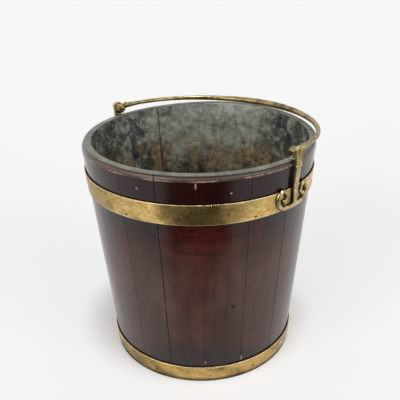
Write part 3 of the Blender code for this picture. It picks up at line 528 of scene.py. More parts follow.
def mark_board(piece, number, start, end):
    """Store how far each point is across and up its stave, and how far from a seam."""
    mesh = piece.data
    spots = np.empty(len(mesh.vertices) * 3)
    mesh.vertices.foreach_get("co", spots)
    x, y, z = spots.reshape(-1, 3).T
    angle = np.arctan2(y, x) - (start + end) / 2
    angle = (angle + math.pi) % (2 * math.pi) - math.pi
    radius = np.hypot(x, y)
    board = np.stack([angle * radius, z, np.full(len(z), float(number))], 1)
    mesh.attributes.new("board", "FLOAT_VECTOR", "POINT").data.foreach_set("vector", board.ravel())
    gaps = np.where(angle < 0, seam_gap(number), seam_gap((number + 1) % STAVE_COUNT))
    to_seam = ((end - start) / 2 - np.abs(angle)) * radius + 2 * (OPEN_GAP - gaps)
    mesh.attributes.new("to_seam", "FLOAT", "POINT").data.foreach_set("value", to_seam)


def make_stave(index):
    start = seam_azimuth(index) + seam_gap(index) / 2 / FOOT_RADIUS
    end = seam_azimuth(index + 1) - seam_gap((index + 1) % STAVE_COUNT) / 2 / FOOT_RADIUS
    stave = copied(stave_section, f"mahogany_stave_{index + 1:02d}")
    stave.rotation_euler.z = start
    settle(stave)
    edit(stave)
    spin(end - start, STAVE_STEPS)
    outward(stave)
    filed(stave, SEAM_ROUNDING, 2, 60)
    mark_board(stave, index, start, end)
    stave.data.materials.append(MAHOGANY)
    smooth(stave)
    stave.modifiers.new("Flat to the seam", "WEIGHTED_NORMAL").keep_sharp = True
    settle(stave)
    keep(stave, "root", [f"stave_{index + 1:02d}"])


for index in range(STAVE_COUNT):
    make_stave(index)
bpy.data.objects.remove(stave_section)

# %% [markdown]
# ## Aged sheet brass
# The hoops are rolled brass, polished by hand for two centuries: warm gold where
# the cloth reaches, olive brown where it doesn't, with fine scratches round the
# hoop and bright edges, partly rubbed and partly a painted highlight, and corners
# darkened partly by dirt and partly by painted shade. An anisotropic shader would
# brush the whole metal evenly. These scratches are few and uneven, so they are
# stretched noise.

# %% Arc length round the bucket
def around(tree, place):
    """Arc length round the bucket and height, for patterns that follow a hoop."""
    split = put(tree, "SeparateXYZ", {0: place}).outputs
    angle = put(tree, "Math", {0: split["Y"], 1: split["X"]}, operation="ARCTAN2")
    arc = put(tree, "Math", {0: angle, 1: RIM_RADIUS}, operation="MULTIPLY")
    return put(tree, "CombineXYZ", {"X": arc, "Y": split["Z"]})


print("once round the rim is", round(2 * math.pi * RIM_RADIUS, 3), "m of pattern")

# %% Sheet brass
BRIGHT_GOLD = colour("F2CF8A")
WORN_GOLD = colour("D8B878")
OLD_GOLD = colour("C39F5C")
OLIVE = colour("5A4B26")
EDGE_WEAR_AND_HIGHLIGHT = colour("F3DDAE")
BRASS_GRIME_AND_SHADE = colour("17130C")
DARK_PATCH_AT = (-0.0450, -0.1760, 0.3180)      # the upper hoop is darkest on the left of the photo


def hoop_brass(name, gold, tarnish, shift, middle, half):
    """Brass for one hoop, whose edges are at middle plus or minus half its height.

    To the eye: a soft golden mirror, with stains 20 to 60 mm long, specks of 4 mm,
    and scratches that are drawn 0.7 mm apart, coarser than real ones, so that they show.
    """
    material, tree, shader, place = finish(name)
    strip = around(tree, place)
    patches = cloud(tree, strip, (16, 30, 1), 6.0, 0.62, 0.5, shift)
    blotches = cloud(tree, strip, (60, 110, 1), 5.0, 0.68, 0.0, shift)
    scratches = cloud(tree, strip, (24, 1500, 1), 3.0, 0.6)
    specks = cloud(tree, strip, (230, 290, 1), 4.0, 0.7)
    stain = put(tree, "Math", {0: blotches, 1: 0.35, 2: patches}, operation="MULTIPLY_ADD")
    dark = put(tree, "MapRange", {0: stain, 1: 0.64 - tarnish, 2: 0.84 - tarnish, 4: 0.8})
    # The upper hoop is made darker in a patch on its left end.
    dark_patch = put(tree, "Math", {0: mark(tree, place, DARK_PATCH_AT, 0.065), 1: 0.5}, operation="MULTIPLY")
    dark = put(tree, "Math", {0: dark, 1: dark_patch}, operation="MAXIMUM")
    scored = put(tree, "Math", {0: put(tree, "MapRange", {0: scratches, 1: 0.6, 2: 0.75, 4: 0.35}),
                                1: put(tree, "MapRange", {0: specks, 1: 0.52, 2: 0.64, 4: 0.5})},
                 operation="MAXIMUM")

    height = put(tree, "SeparateXYZ", {0: place}).outputs["Z"]
    above = put(tree, "Math", {0: height, 1: middle}, operation="SUBTRACT")
    from_middle = put(tree, "Math", {0: above}, operation="ABSOLUTE")
    # Pale lines along both edges: partly rubbed brass, partly a painted highlight.
    at_edge = put(tree, "MapRange", {0: from_middle, 1: half - 0.0016, 2: half - 0.0004})
    edge_rub_and_highlight = put(tree, "MapRange", {0: blotches, 1: 0.35, 2: 0.6, 3: 0.35})
    bright = put(tree, "Math", {0: at_edge, 1: edge_rub_and_highlight}, operation="MULTIPLY")
    # Dark in the corners against the wood and the castings: partly dirt, partly painted shade.
    grime_and_shade = dirt_and_shade_in_hollows(tree, 0.010, 0.93, 0.60, 0.95)
    metal = OLD_GOLD
    for share, over in ((put(tree, "MapRange", {0: blotches, 1: 0.38, 2: 0.62}), gold), (dark, OLIVE),
                        (scored, OLIVE), (bright, EDGE_WEAR_AND_HIGHLIGHT), (grime_and_shade, BRASS_GRIME_AND_SHADE)):
        metal = put(tree, "Mix", {0: share, 6: metal, 7: over}, data_type="RGBA")

    rough = put(tree, "MapRange", {0: dark, 1: 0.0, 2: 0.8, 3: 0.25, 4: 0.47})
    rough = put(tree, "Math", {0: grime_and_shade, 1: 0.3, 2: rough}, operation="MULTIPLY_ADD")
    wave = cloud(tree, strip, (26, 20, 1), 3.0, 0.55)
    relief = put(tree, "Math", {0: scratches, 1: 0.03, 2: wave}, operation="MULTIPLY_ADD")
    plug(tree, shader, {"Base Color": metal, "Metallic": 1.0, "Roughness": rough,
                        "Normal": put(tree, "Bump", {"Height": relief, "Distance": 0.0012})})
    return material


# %% [markdown]
# ## The hoops
# Each hoop is a strip bent round the cone, and its end steps out to lie over its
# start at the back. A plain ring would hide that it is a strip. So the section,
# with its rounded edges, is spun nearly all the way round, extruded outwards
# over a short step, and spun on for the lap.

# %% Hoop sizes and the lapped ring
HOOP_THICKNESS = 0.0022
HOOP_ROUNDING = 0.0007
HOOP_JOGGLE_LENGTH = 0.009
HOOP_LAP_LENGTH = 0.024
HOOP_LAP_SEAM = 6
RING_STEPS = 144
JOGGLE_STEPS = 4
LAP_STEPS = 6


def lapped_ring(name, corners, start, joggle, lap, step_out):
    """Spin a section round the axis so that its end steps out over its start."""
    radius = corners[0][0]
    ring = draw(name, corners)
    ring.rotation_euler.z = start
    settle(ring)
    edit(ring)
    gap = 2 * FIT / radius
    spin(2 * math.pi - gap - joggle / radius, RING_STEPS)
    for step in range(JOGGLE_STEPS):
        share = (1 - math.cos(math.pi * (step + 1) / JOGGLE_STEPS)) / 2
        before = (1 - math.cos(math.pi * step / JOGGLE_STEPS)) / 2
        bpy.ops.mesh.extrude_region_move(TRANSFORM_OT_translate={"value": (0, 0, 0)})
        turn(joggle / radius / JOGGLE_STEPS)
        grow = (radius + step_out * share) / (radius + step_out * before)
        bpy.ops.transform.resize(value=(grow, grow, 1), center_override=CENTRE)
    spin(lap / radius + gap, LAP_STEPS)
    outward(ring)
    return ring


def rounded_strip(radius_at, bottom, height, thickness, rounding, steps=3):
    """Section of a strip that leans with the wall, with its four edges rounded."""
    corners = []
    for out, up, turn_start in ((1, 0, -90), (1, 1, 0), (0, 1, 90), (0, 0, 180)):
        centre_out = rounding if out == 0 else thickness - rounding
        centre_up = bottom + (rounding if up == 0 else height - rounding)
        for step in range(steps + 1):
            angle = math.radians(turn_start + 90 * step / steps)
            level = centre_up + rounding * math.sin(angle)
            corners.append((radius_at(level) + centre_out + rounding * math.cos(angle), 0, level))
    return corners


def make_hoop(name, bottom, height, gold, tarnish, shift, replaced):
    corners = rounded_strip(lambda level: wall_radius(level) + FIT, bottom, height, HOOP_THICKNESS,
                            HOOP_ROUNDING)
    hoop = lapped_ring(name, corners, seam_azimuth(HOOP_LAP_SEAM), HOOP_JOGGLE_LENGTH, HOOP_LAP_LENGTH,
                       HOOP_THICKNESS + FIT)
    half = height / 2
    hoop.data.materials.append(hoop_brass(name + "_brass", gold, tarnish, shift, bottom + half, half))
    smooth(hoop)
    keep(hoop, "root", [replaced])


UPPER_HOOP_BOTTOM = 0.2955
UPPER_HOOP_HEIGHT = 0.032
LOWER_HOOP_BOTTOM = 0.0005
LOWER_HOOP_HEIGHT = 0.029
make_hoop("upper_hoop", UPPER_HOOP_BOTTOM, UPPER_HOOP_HEIGHT, BRIGHT_GOLD, 0.0, (1.7, 0.0, 0.0), "upper_band")
make_hoop("foot_hoop", LOWER_HOOP_BOTTOM, LOWER_HOOP_HEIGHT, WORN_GOLD, 0.02, (3.1, 0.0, 0.0), "lower_band")

# %% [markdown]
# ## Pins and lap rivets
# Small brass pins nail the hoops to the staves, and two rivets hold each lap at
# the back. A sphere pressed flat would leave the head without a seat. So each is
# drawn as half a section and spun into a low dome on its shank, then copied.

# %% Turned fasteners
STAVES_PER_PIN = 3
UPPER_PIN_ABOVE_EDGE = 0.0048
LOWER_PIN_ABOVE_EDGE = 0.0125
UPPER_PIN_FROM_SEAM = math.radians(2.6)
LOWER_PIN_FROM_SEAM = math.radians(8.5)
SHANK_END = -0.004


def radial(azimuth, radius, height):
    """Place on the wall: local Z points outwards, local Y points up."""
    out = Vector((math.cos(azimuth), math.sin(azimuth), 0))
    up = Vector((0, 0, 1))
    place = Matrix((up.cross(out), up, out)).transposed().to_4x4()
    place.translation = out * radius + up * height
    return place


def turned(name, profile, steps=20):
    """Spin (radius, height) points round the local Z axis into a closed piece."""
    piece = draw(name, [(radius, 0, height) for radius, height in profile], closed=False)
    edit(piece)
    spin(2 * math.pi, steps)
    outward(piece)
    smooth(piece, 40)
    return piece


def dome(radius, rise, seat, steps=5):
    """Half section of a low round head on its shank."""
    arc = [(radius * math.sin(math.pi / 2 * step / steps), seat + rise * math.cos(math.pi / 2 * step / steps))
           for step in range(steps + 1)]
    return arc + [(radius, seat - 0.0002), (radius * 0.6, seat - 0.0004), (radius * 0.6, SHANK_END),
                  (0, SHANK_END)]


def hoop_outside(height):
    return wall_radius(height) + FIT + HOOP_THICKNESS


def pin_brass():
    """Brass left dull. To the eye: darker than the hoop, in 1 mm spots."""
    material, tree, shader, place = finish("pin_brass")
    spots = put(tree, "MapRange", {0: cloud(tree, place, (900, 900, 900), 2.0), 1: 0.4, 2: 0.6})
    metal = put(tree, "Mix", {0: spots, 6: colour("4A3A1C"), 7: colour("8C6F3C")}, data_type="RGBA")
    plug(tree, shader, {"Base Color": metal, "Metallic": 1.0, "Roughness": 0.45})
    return material


PIN_BRASS = pin_brass()


def fasteners(name, profile, places, replaced):
    """Turn one fastener, and set a copy of it at each place."""
    model = turned(name, profile)
    for number, place in enumerate(places, start=1):
        piece = copied(model, f"{name}_{number}")
        piece.matrix_world = place
        settle(piece)
        piece.data.materials.append(PIN_BRASS)
        keep(piece, "root", [f"{replaced}_{number}"])
    bpy.data.objects.remove(model)


def pin_places(level, from_seam):
    starts = range(-1, STAVE_COUNT - 1, STAVES_PER_PIN)
    return [radial(seam_azimuth(index) + from_seam, hoop_outside(level), level) for index in starts]


PIN_PROFILE = dome(radius=0.0019, rise=0.0004, seat=0.0001)
fasteners("upper_pin", PIN_PROFILE, pin_places(UPPER_HOOP_BOTTOM + UPPER_PIN_ABOVE_EDGE, UPPER_PIN_FROM_SEAM),
          "upper_band_pin")
fasteners("foot_pin", PIN_PROFILE, pin_places(LOWER_HOOP_BOTTOM + LOWER_PIN_ABOVE_EDGE, LOWER_PIN_FROM_SEAM),
          "lower_band_pin")

# %% Lap rivets
LAP_RIVET_SPACING = 0.015


def rivet_places(bottom, height):
    middle = bottom + height / 2
    angle = seam_azimuth(HOOP_LAP_SEAM) + HOOP_LAP_LENGTH / 2 / hoop_outside(middle)
    return [radial(angle, hoop_outside(level) + HOOP_THICKNESS + FIT, level)
            for level in (middle - LAP_RIVET_SPACING / 2, middle + LAP_RIVET_SPACING / 2)]


RIVET_PROFILE = dome(radius=0.0035, rise=0.0014, seat=0.0)
fasteners("upper_lap_rivet", RIVET_PROFILE, rivet_places(UPPER_HOOP_BOTTOM, UPPER_HOOP_HEIGHT),
          "upper_band_rivet")
fasteners("foot_lap_rivet", RIVET_PROFILE, rivet_places(LOWER_HOOP_BOTTOM, LOWER_HOOP_HEIGHT),
          "lower_band_rivet")

# %% [markdown]
# ## The liner
# A wall of grey zinc sheet with one lapped seam, soldered to a dished floor, and
# a flat ring that lies over the wood at the mouth. It has stood damp for years:
# pale streaks run down it, and brown stains gather where the fuel lay. A plain
# tube would lose the lap, so the wall is spun like the hoops. Its metal is dull
# with oxide, so the shader is only partly metallic.

# %% Zinc colours and places
ZINC = colour("969A8D")
DARK_ZINC = colour("303434")
PALE_ZINC = colour("C6C8BC")
RUST = colour("B59C70")
DARK_RUST = colour("5C4B37")
LAP_DIRT = colour("1E1E1A")
LAP_ARC = RIM_RADIUS * math.radians(158.0)
# Centre of a pool of painted light on the far wall, where the lamps fall.
LIT_PATCH_AT = (-0.102, 0.138, 0.350)
print("dirt lies on the lap at", round(LAP_ARC, 3), "m of pattern")


# %% Stains on the zinc
def zinc_rust(tree, strip, height, patches, grain):
    """Share and colour of the brown stains, which end in an uneven tide line."""
    tide = put(tree, "Math", {0: patches, 1: 0.11, 2: height}, operation="MULTIPLY_ADD")
    low = put(tree, "MapRange", {0: tide, 1: 0.374, 2: 0.342})
    blots = cloud(tree, strip, (30, 13, 1), 7.0, 0.74, 0.3)
    blots = put(tree, "MapRange", {0: blots, 1: 0.44, 2: 0.55, 4: 0.9})
    rust = put(tree, "Math", {0: low, 1: blots}, operation="MULTIPLY")
    brown = put(tree, "Mix", {0: put(tree, "MapRange", {0: grain, 1: 0.40, 2: 0.58}), 6: DARK_RUST, 7: RUST},
                data_type="RGBA")
    return rust, brown


def lap_line(tree, strip, grain):
    """A dark line of dirt of wandering width along the lap."""
    arc = put(tree, "SeparateXYZ", {0: strip}).outputs["X"]
    past_lap = put(tree, "Math", {0: arc, 1: LAP_ARC}, operation="SUBTRACT")
    from_lap = put(tree, "Math", {0: past_lap}, operation="ABSOLUTE")
    wander = put(tree, "Math", {0: grain, 1: -0.0030, 2: 0.0042}, operation="MULTIPLY_ADD")
    return put(tree, "MapRange", {0: from_lap, 1: wander, 2: 0.0008, 4: 0.7})


# %% Zinc for the wall
def zinc():
    """To the eye: dull grey, in clouds of 50 mm and grains of 10 mm, with 5 mm wide pale runs, a pool of
    painted light on the far wall and painted shade deeper down.
    """
    material, tree, shader, place = finish("weathered_zinc_sheet")
    strip = around(tree, place)
    height = put(tree, "SeparateXYZ", {0: place}).outputs["Z"]
    patches = cloud(tree, strip, (20, 26, 1), 8.0, 0.70, 0.4)
    grain = cloud(tree, strip, (90, 85, 1), 7.0, 0.78)
    mottle = cloud(tree, strip, (300, 280, 1), 5.0, 0.75)
    streaks = cloud(tree, strip, (210, 15, 1), 6.0, 0.72)
    # Painted light: the wall is paler in that pool and higher up, and darker deeper down as painted shade.
    painted_light_pool = mark(tree, place, LIT_PATCH_AT, 0.145)
    light = put(tree, "Math", {0: painted_light_pool, 1: 0.29, 2: patches}, operation="MULTIPLY_ADD")
    light = put(tree, "Math", {0: height, 1: 0.9, 2: light}, operation="MULTIPLY_ADD")
    both = put(tree, "Math", {0: grain, 1: patches}, operation="ADD")
    runs = put(tree, "Math", {0: streaks, 1: grain}, operation="SUBTRACT")
    rust, brown = zinc_rust(tree, strip, height, patches, grain)
    metal = DARK_ZINC
    for share, over in ((put(tree, "MapRange", {0: light, 1: 0.72, 2: 1.06}), ZINC),
                        (put(tree, "MapRange", {0: both, 1: 1.01, 2: 1.14, 4: 0.78}), PALE_ZINC),
                        (put(tree, "MapRange", {0: both, 1: 0.97, 2: 0.81, 4: 0.85}), DARK_ZINC),
                        (put(tree, "MapRange", {0: runs, 1: 0.08, 2: 0.28, 4: 0.6}), PALE_ZINC),
                        (put(tree, "MapRange", {0: streaks, 1: 0.42, 2: 0.3, 4: 0.6}), DARK_ZINC),
                        (rust, brown), (lap_line(tree, strip, grain), LAP_DIRT)):
        metal = put(tree, "Mix", {0: share, 6: metal, 7: over}, data_type="RGBA")
    rough = put(tree, "MapRange", {0: patches, 1: 0.3, 2: 0.7, 3: 0.62, 4: 0.42})
    relief = put(tree, "Math", {0: mottle, 1: cloud(tree, strip, (12, 9, 1), 2.0)}, operation="ADD")
    plug(tree, shader, {"Base Color": metal, "Metallic": 0.3, "Roughness": rough,
                        "Normal": put(tree, "Bump", {"Height": relief, "Distance": 0.0006})})
    return material


# %% Zinc for the floor and the ring
def zinc_floor():
    """The dirtiest zinc. To the eye: peat dust, rust and a few rubbed places, with no runs."""
    material, tree, shader, place = finish("stained_zinc_floor")
    patches = cloud(tree, place, (22, 22, 22), 7.0, 0.7, 0.4)
    grain = cloud(tree, place, (120, 120, 120), 6.0, 0.75)
    dusty = put(tree, "MapRange", {0: patches, 1: 0.60, 2: 0.44})
    rust = put(tree, "Math", {0: grain, 1: dusty}, operation="MULTIPLY")
    rubbed = put(tree, "Math", {0: grain, 1: patches}, operation="ADD")
    metal = DARK_RUST
    for share, over in ((put(tree, "MapRange", {0: patches, 1: 0.40, 2: 0.62}), DARK_ZINC),
                        (put(tree, "MapRange", {0: rust, 1: 0.40, 2: 0.60, 4: 0.8}), RUST),
                        (put(tree, "MapRange", {0: rubbed, 1: 1.06, 2: 1.24, 4: 0.6}), ZINC),
                        # Dark where the floor meets the wall: partly dirt, partly painted shade.
                        (dirt_and_shade_in_hollows(tree, 0.012, 0.9, 0.5, 0.8), LAP_DIRT)):
        metal = put(tree, "Mix", {0: share, 6: metal, 7: over}, data_type="RGBA")
    plug(tree, shader, {"Base Color": metal, "Metallic": 0.3, "Roughness": 0.62,
                        "Normal": put(tree, "Bump", {"Height": grain, "Distance": 0.0006})})
    return material


def ring_zinc():
    """Zinc that hands rub. To the eye: brighter than the wall, with dull spots of 3 mm."""
    material, tree, shader, place = finish("rubbed_zinc_ring")
    patches = cloud(tree, around(tree, place), (45, 45, 1), 5.0, 0.65)
    spots = cloud(tree, place, (300, 300, 300), 3.0)
    metal = colour("5F6057")
    for share, over in ((put(tree, "MapRange", {0: patches, 1: 0.35, 2: 0.65}), colour("8E8D80")),
                        (put(tree, "MapRange", {0: spots, 1: 0.55, 2: 0.7, 4: 0.6}), colour("4A4A40"))):
        metal = put(tree, "Mix", {0: share, 6: metal, 7: over}, data_type="RGBA")
    plug(tree, shader, {"Base Color": metal, "Metallic": 0.4, "Roughness": 0.42,
                        "Normal": put(tree, "Bump", {"Height": patches, "Distance": 0.0006})})
    return material


# %% Liner wall
LINER_SHEET = 0.001
LINER_CLEARANCE = 0.003
LINER_SHIFT = 0.0025
LINER_WALL_BOTTOM = 0.0273
LINER_ROUNDING = 0.0003
LINER_JOGGLE_LENGTH = 0.005
LINER_LAP_LENGTH = 0.009
LINER_LAP_START = 33
FACETS_PER_STAVE = 4
RAISED_AT = math.radians(106)
RAISED_BY = 0.0030
RAISED_CORE = 0.012
RAISED_SPREAD = 0.19


def liner_radius(height):
    return inner_radius(height) - LINER_CLEARANCE - LINER_SHEET


def facet_azimuth(index):
    """Direction of a quarter of a stave, which is how the CAD counts round the wall."""
    stave, step = divmod(index, FACETS_PER_STAVE)
    start = seam_azimuth(stave)
    return start + (seam_azimuth(stave + 1) - start) * step / FACETS_PER_STAVE


def raise_at_back(piece):
    """The liner isn't quite flat: its edge stands up a little at the back."""
    radius = inner_radius(RIM_TOP)
    peak = Vector((radius * math.cos(RAISED_AT), radius * math.sin(RAISED_AT), RIM_TOP))
    edit(piece)
    pick(piece, "verts", lambda v: (v.co - peak).length < RAISED_CORE)
    bpy.ops.transform.translate(value=(0, 0, RAISED_BY), use_proportional_edit=True,
                                proportional_edit_falloff="SMOOTH", proportional_size=RAISED_SPREAD)
    only(piece)


def fit_liner(piece, material, angle):
    """Shift a piece of the liner off centre, raise its back and give it its finish."""
    piece.location.x = LINER_SHIFT
    settle(piece)
    raise_at_back(piece)
    piece.data.materials.append(material)
    smooth(piece, angle)


sheet = rounded_strip(liner_radius, LINER_WALL_BOTTOM, RIM_TOP - LINER_WALL_BOTTOM, LINER_SHEET,
                      LINER_ROUNDING, steps=1)
liner = lapped_ring("zinc_liner_wall", sheet, facet_azimuth(LINER_LAP_START), LINER_JOGGLE_LENGTH,
                    LINER_LAP_LENGTH, LINER_SHEET + FIT)
fit_liner(liner, zinc(), 35)
keep(liner, "root", ["liner_wall"])

# %% Liner ring
LINER_RIM_WIDTH = 0.0105
LINER_RIM_THICKNESS = 0.0016


def make_liner_ring():
    """A flat ring whose two edges are rolled round, so it is rounded by half its thickness."""
    low = RIM_TOP + FIT
    corners = rounded_strip(lambda level: liner_radius(RIM_TOP), low, LINER_RIM_THICKNESS, LINER_RIM_WIDTH,
                            LINER_RIM_THICKNESS / 2)
    ring = draw("zinc_liner_ring", corners + corners[:1], closed=False)
    edit(ring)
    spin(2 * math.pi, RING_STEPS)
    outward(ring)
    fit_liner(ring, ring_zinc(), 50)
    print("ring stands", round(1000 * (max(v.co.z for v in ring.data.vertices) - low), 1), "mm over the wood")
    keep(ring, "root", ["liner_rim"])


make_liner_ring()

# %% [markdown]
# ## Cast brass
# The brackets, pins and bail are cast, filed and polished. Handled parts are
# bright, and the hollows are dark, partly with old polish and dirt and partly
# with painted shade. Pointiness would find the edges but can't be baked, so this
# dark comes from ambient occlusion, which finds the same hollows.

# %% Cast brass finish
BRACKET_BRIGHT = colour("D6C592")
BRACKET_MIDDLE = colour("94805A")
BAIL_BRIGHT = colour("B5A273")
BAIL_MIDDLE = colour("70603B")
HEAD_FIELD = colour("86672C")
CAST_DARK = colour("261E10")
HEAD_FIELD_AT = (0.1915, 0.0043, 0.3790)      # the sunken field of either head, which no cloth reaches


def cast_brass(name, bright, middle):
    """To the eye: soft gold with 13 mm clouds, a grit of 0.7 mm left by the sand, and hollows darkened partly
    by dirt and partly by painted shade.
    """
    material, tree, shader, place = finish(name)
    patches = cloud(tree, place, (75, 75, 75), 6.0, 0.68)
    grit = cloud(tree, place, (1400, 1400, 1400), 2.0)
    either_side = put(tree, "VectorMath", {0: place}, operation="ABSOLUTE")
    field = mark(tree, either_side, HEAD_FIELD_AT, 0.0066, 1.5)
    field = put(tree, "Math", {0: field, 1: 0.6}, operation="MULTIPLY")
    # Dark in the hollows: partly old polish and dirt, partly painted shade.
    dirt_and_shade = dirt_and_shade_in_hollows(tree, 0.0035, 0.82, 0.45, 0.9)
    metal = middle
    for share, over in ((put(tree, "MapRange", {0: patches, 1: 0.40, 2: 0.62}), bright),
                        (field, HEAD_FIELD), (dirt_and_shade, CAST_DARK)):
        metal = put(tree, "Mix", {0: share, 6: metal, 7: over}, data_type="RGBA")
    rough = put(tree, "MapRange", {0: patches, 1: 0.3, 2: 0.7, 3: 0.36, 4: 0.24})
    rough = put(tree, "Math", {0: dirt_and_shade, 1: 0.25, 2: rough}, operation="MULTIPLY_ADD")
    relief = put(tree, "Math", {0: grit, 1: 0.06, 2: patches}, operation="MULTIPLY_ADD")
    plug(tree, shader, {"Base Color": metal, "Metallic": 1.0, "Roughness": rough,
                        "Normal": put(tree, "Bump", {"Height": relief, "Distance": 0.0006})})
    return material


BRACKET_BRASS = cast_brass("polished_cast_brass", BRACKET_BRIGHT, BRACKET_MIDDLE)
BAIL_BRASS = cast_brass("handled_bail_brass", BAIL_BRIGHT, BAIL_MIDDLE)
print("materials", BRACKET_BRASS.name, BAIL_BRASS.name)

# %% [markdown]
# ## The brackets
# Each bracket is one casting: a strap with a pointed foot, two scrolls that curl
# right in to bulbs, a bead at the neck, a shield-shaped head with a raised
# border round a sunken field, and a lug that turns in over the liner's ring.
# Shapes are easier to draw flat, so the parts are modelled lying down, then laid
# on the bucket and remeshed into one skin. That gives the soft inner corners
# that a casting has, which joined parts would lack.

# %% Bracket sizes
PIVOT_HEIGHT = RIM_TOP + 0.0123
PIVOT_SHIFT = -0.0043
NECK_HEIGHT = PIVOT_HEIGHT - 0.0203
STRAP_HALF_WIDTH = 0.0053
STRAP_FOOT_HALF_WIDTH = 0.0046
STRAP_THICKNESS = 0.0040
STRAP_FILED = 0.0011
HEAD_HALF_WIDTH = 0.0084
HEAD_ABOVE_PIVOT = 0.0088
HEAD_FOOT_HALF_WIDTH = 0.0058
HEAD_CORNER = 0.0050
HEAD_THICKNESS = 0.0046
HEAD_BORDER = 0.0022
HEAD_HOLLOW = 0.0016
HEAD_FILED = 0.0006
LEAN_HEIGHT = 0.0235


def strap_back(height):
    """Radius of a bracket's back: it follows the hoop to the neck, then stands upright."""
    return hoop_outside(min(height, NECK_HEIGHT)) + FIT


def lay_on(piece):
    """Lay a flat casting on the bucket: X runs round it, Y is height, Z stands out."""
    for vertex in piece.data.vertices:
        across, height, out = vertex.co
        back = strap_back(height)
        spread = across + PIVOT_SHIFT * min((height - UPPER_HOOP_BOTTOM) / LEAN_HEIGHT, 1)
        if height > NECK_HEIGHT:
            vertex.co = (back + out, spread, height)
        else:
            angle = spread / back
            vertex.co = ((back + out) * math.cos(angle), (back + out) * math.sin(angle), height)


HEAD_BACK = strap_back(NECK_HEIGHT)
print("the head's back stands", round(1000 * HEAD_BACK, 1), "mm from the axis")

# %% Strap and head
def plate(name, half, thickness, rounding, hollow=0.0):
    """A plate from the right half of its outline, with filed edges. A hollow sinks its front."""
    outline = half + [(-across, height) for across, height in reversed(half) if across > 0]
    piece = draw(name, [(across, height, 0) for across, height in outline])
    edit(piece)
    bpy.ops.mesh.extrude_region_move(TRANSFORM_OT_translate={"value": (0, 0, thickness)})
    outward(piece)
    if hollow:
        edit(piece)
        pick(piece, "faces", lambda f: f.normal.z > 0.9)
        bpy.ops.mesh.inset(thickness=HEAD_BORDER, depth=-hollow)
        only(piece)
    filed(piece, rounding, 3, 50)
    return piece


def strap_half():
    """From the pointed foot up to the neck."""
    foot = UPPER_HOOP_BOTTOM - 0.0005
    return [(0, foot), (STRAP_FOOT_HALF_WIDTH / 2, foot + 0.0009), (STRAP_FOOT_HALF_WIDTH, foot + 0.005),
            (STRAP_FOOT_HALF_WIDTH, foot + 0.012), (STRAP_HALF_WIDTH, NECK_HEIGHT - 0.03),
            (STRAP_HALF_WIDTH, NECK_HEIGHT + 0.001)]


def head_half():
    """From the neck up the slanting side, and round the corner."""
    top = PIVOT_HEIGHT + HEAD_ABOVE_PIVOT
    corner = [math.pi / 2 * step / 6 for step in range(7)]
    return [(0, NECK_HEIGHT), (HEAD_FOOT_HALF_WIDTH, NECK_HEIGHT)] + [
        (HEAD_HALF_WIDTH - HEAD_CORNER * (1 - math.cos(angle)), top - HEAD_CORNER * (1 - math.sin(angle)))
        for angle in corner] + [(0, top)]


strap = plate("strap", strap_half(), STRAP_THICKNESS, STRAP_FILED)
head = plate("head", head_half(), HEAD_THICKNESS, HEAD_FILED, HEAD_HOLLOW)
print("strap and head corners", len(strap.data.vertices), len(head.data.vertices))

# %% Bead at the neck and the lug
BEAD_RADIUS = 0.0025
BEAD_HALF_WIDTH = 0.0070
BEAD_OVERHANG = 0.0008
LUG_BOTTOM = RIM_TOP + FIT + LINER_RIM_THICKNESS + FIT
LUG_THICKNESS = 0.0018
LUG_REACH = 0.0070
LUG_HALF_WIDTH = 0.0085


def rounded(piece, width, segments):
    """Apply a primitive's placing and round all its edges."""
    settle(piece)
    edit(piece)
    bpy.ops.mesh.bevel(offset=width, segments=segments)
    only(piece)
    return piece


def rounded_bar(name, half, bar_height, bar_depth, place):
    """A short bar with fully rounded sides: a cube with its edges bevelled."""
    bar = added(name, bpy.ops.mesh.primitive_cube_add, size=1, location=place,
                scale=(2 * half, bar_height, bar_depth))
    return rounded(bar, 0.45 * min(bar_height, bar_depth), 4)


bead = rounded_bar("bead", BEAD_HALF_WIDTH, 2 * BEAD_RADIUS, HEAD_THICKNESS + BEAD_OVERHANG,
                   (0, NECK_HEIGHT, HEAD_THICKNESS / 2 + BEAD_OVERHANG / 2))
lug = rounded_bar("lug", LUG_HALF_WIDTH, LUG_THICKNESS, LUG_REACH + HEAD_THICKNESS / 2,
                  (0, LUG_BOTTOM + LUG_THICKNESS / 2, (HEAD_THICKNESS / 2 - LUG_REACH) / 2))
edit(lug)
pick(lug, "verts", lambda v: v.co.z > 0)
bpy.ops.transform.resize(value=(STRAP_HALF_WIDTH / LUG_HALF_WIDTH, 1, 1), center_override=CENTRE)
only(lug)
print("bead and lug corners", len(bead.data.vertices), len(lug.data.vertices))

# %% Line of a scroll
SCROLL_STROKE = 0.0038
SCROLL_TIP_STROKE = 0.0026
SCROLL_CENTRE_OUT = 0.0210
SCROLL_RADIUS = 0.0133
SCROLL_STRETCH = 1.25
SCROLL_BOTTOM = UPPER_HOOP_BOTTOM + 0.0031
SCROLL_CENTRE_UP = SCROLL_BOTTOM + SCROLL_STRETCH * SCROLL_RADIUS
SCROLL_START = math.radians(-110)
SCROLL_CURL_START = math.radians(-20)
SCROLL_END = math.radians(90)
SCROLL_END_RADIUS = 0.0083
SCROLL_STEPS = 30
CURL_END = math.radians(245)
CURL_END_RADIUS = 0.0030
CURL_STEPS = 14
BULB_RADIUS = 0.0042
BULB_ROUND = math.radians(172)
BULB_STEPS = 9


def on_scroll(angle, radius):
    """A point of the scroll's spiral, which is taller than it is wide."""
    return Vector((SCROLL_CENTRE_OUT + radius * math.cos(angle),
                   SCROLL_CENTRE_UP + SCROLL_STRETCH * radius * math.sin(angle)))


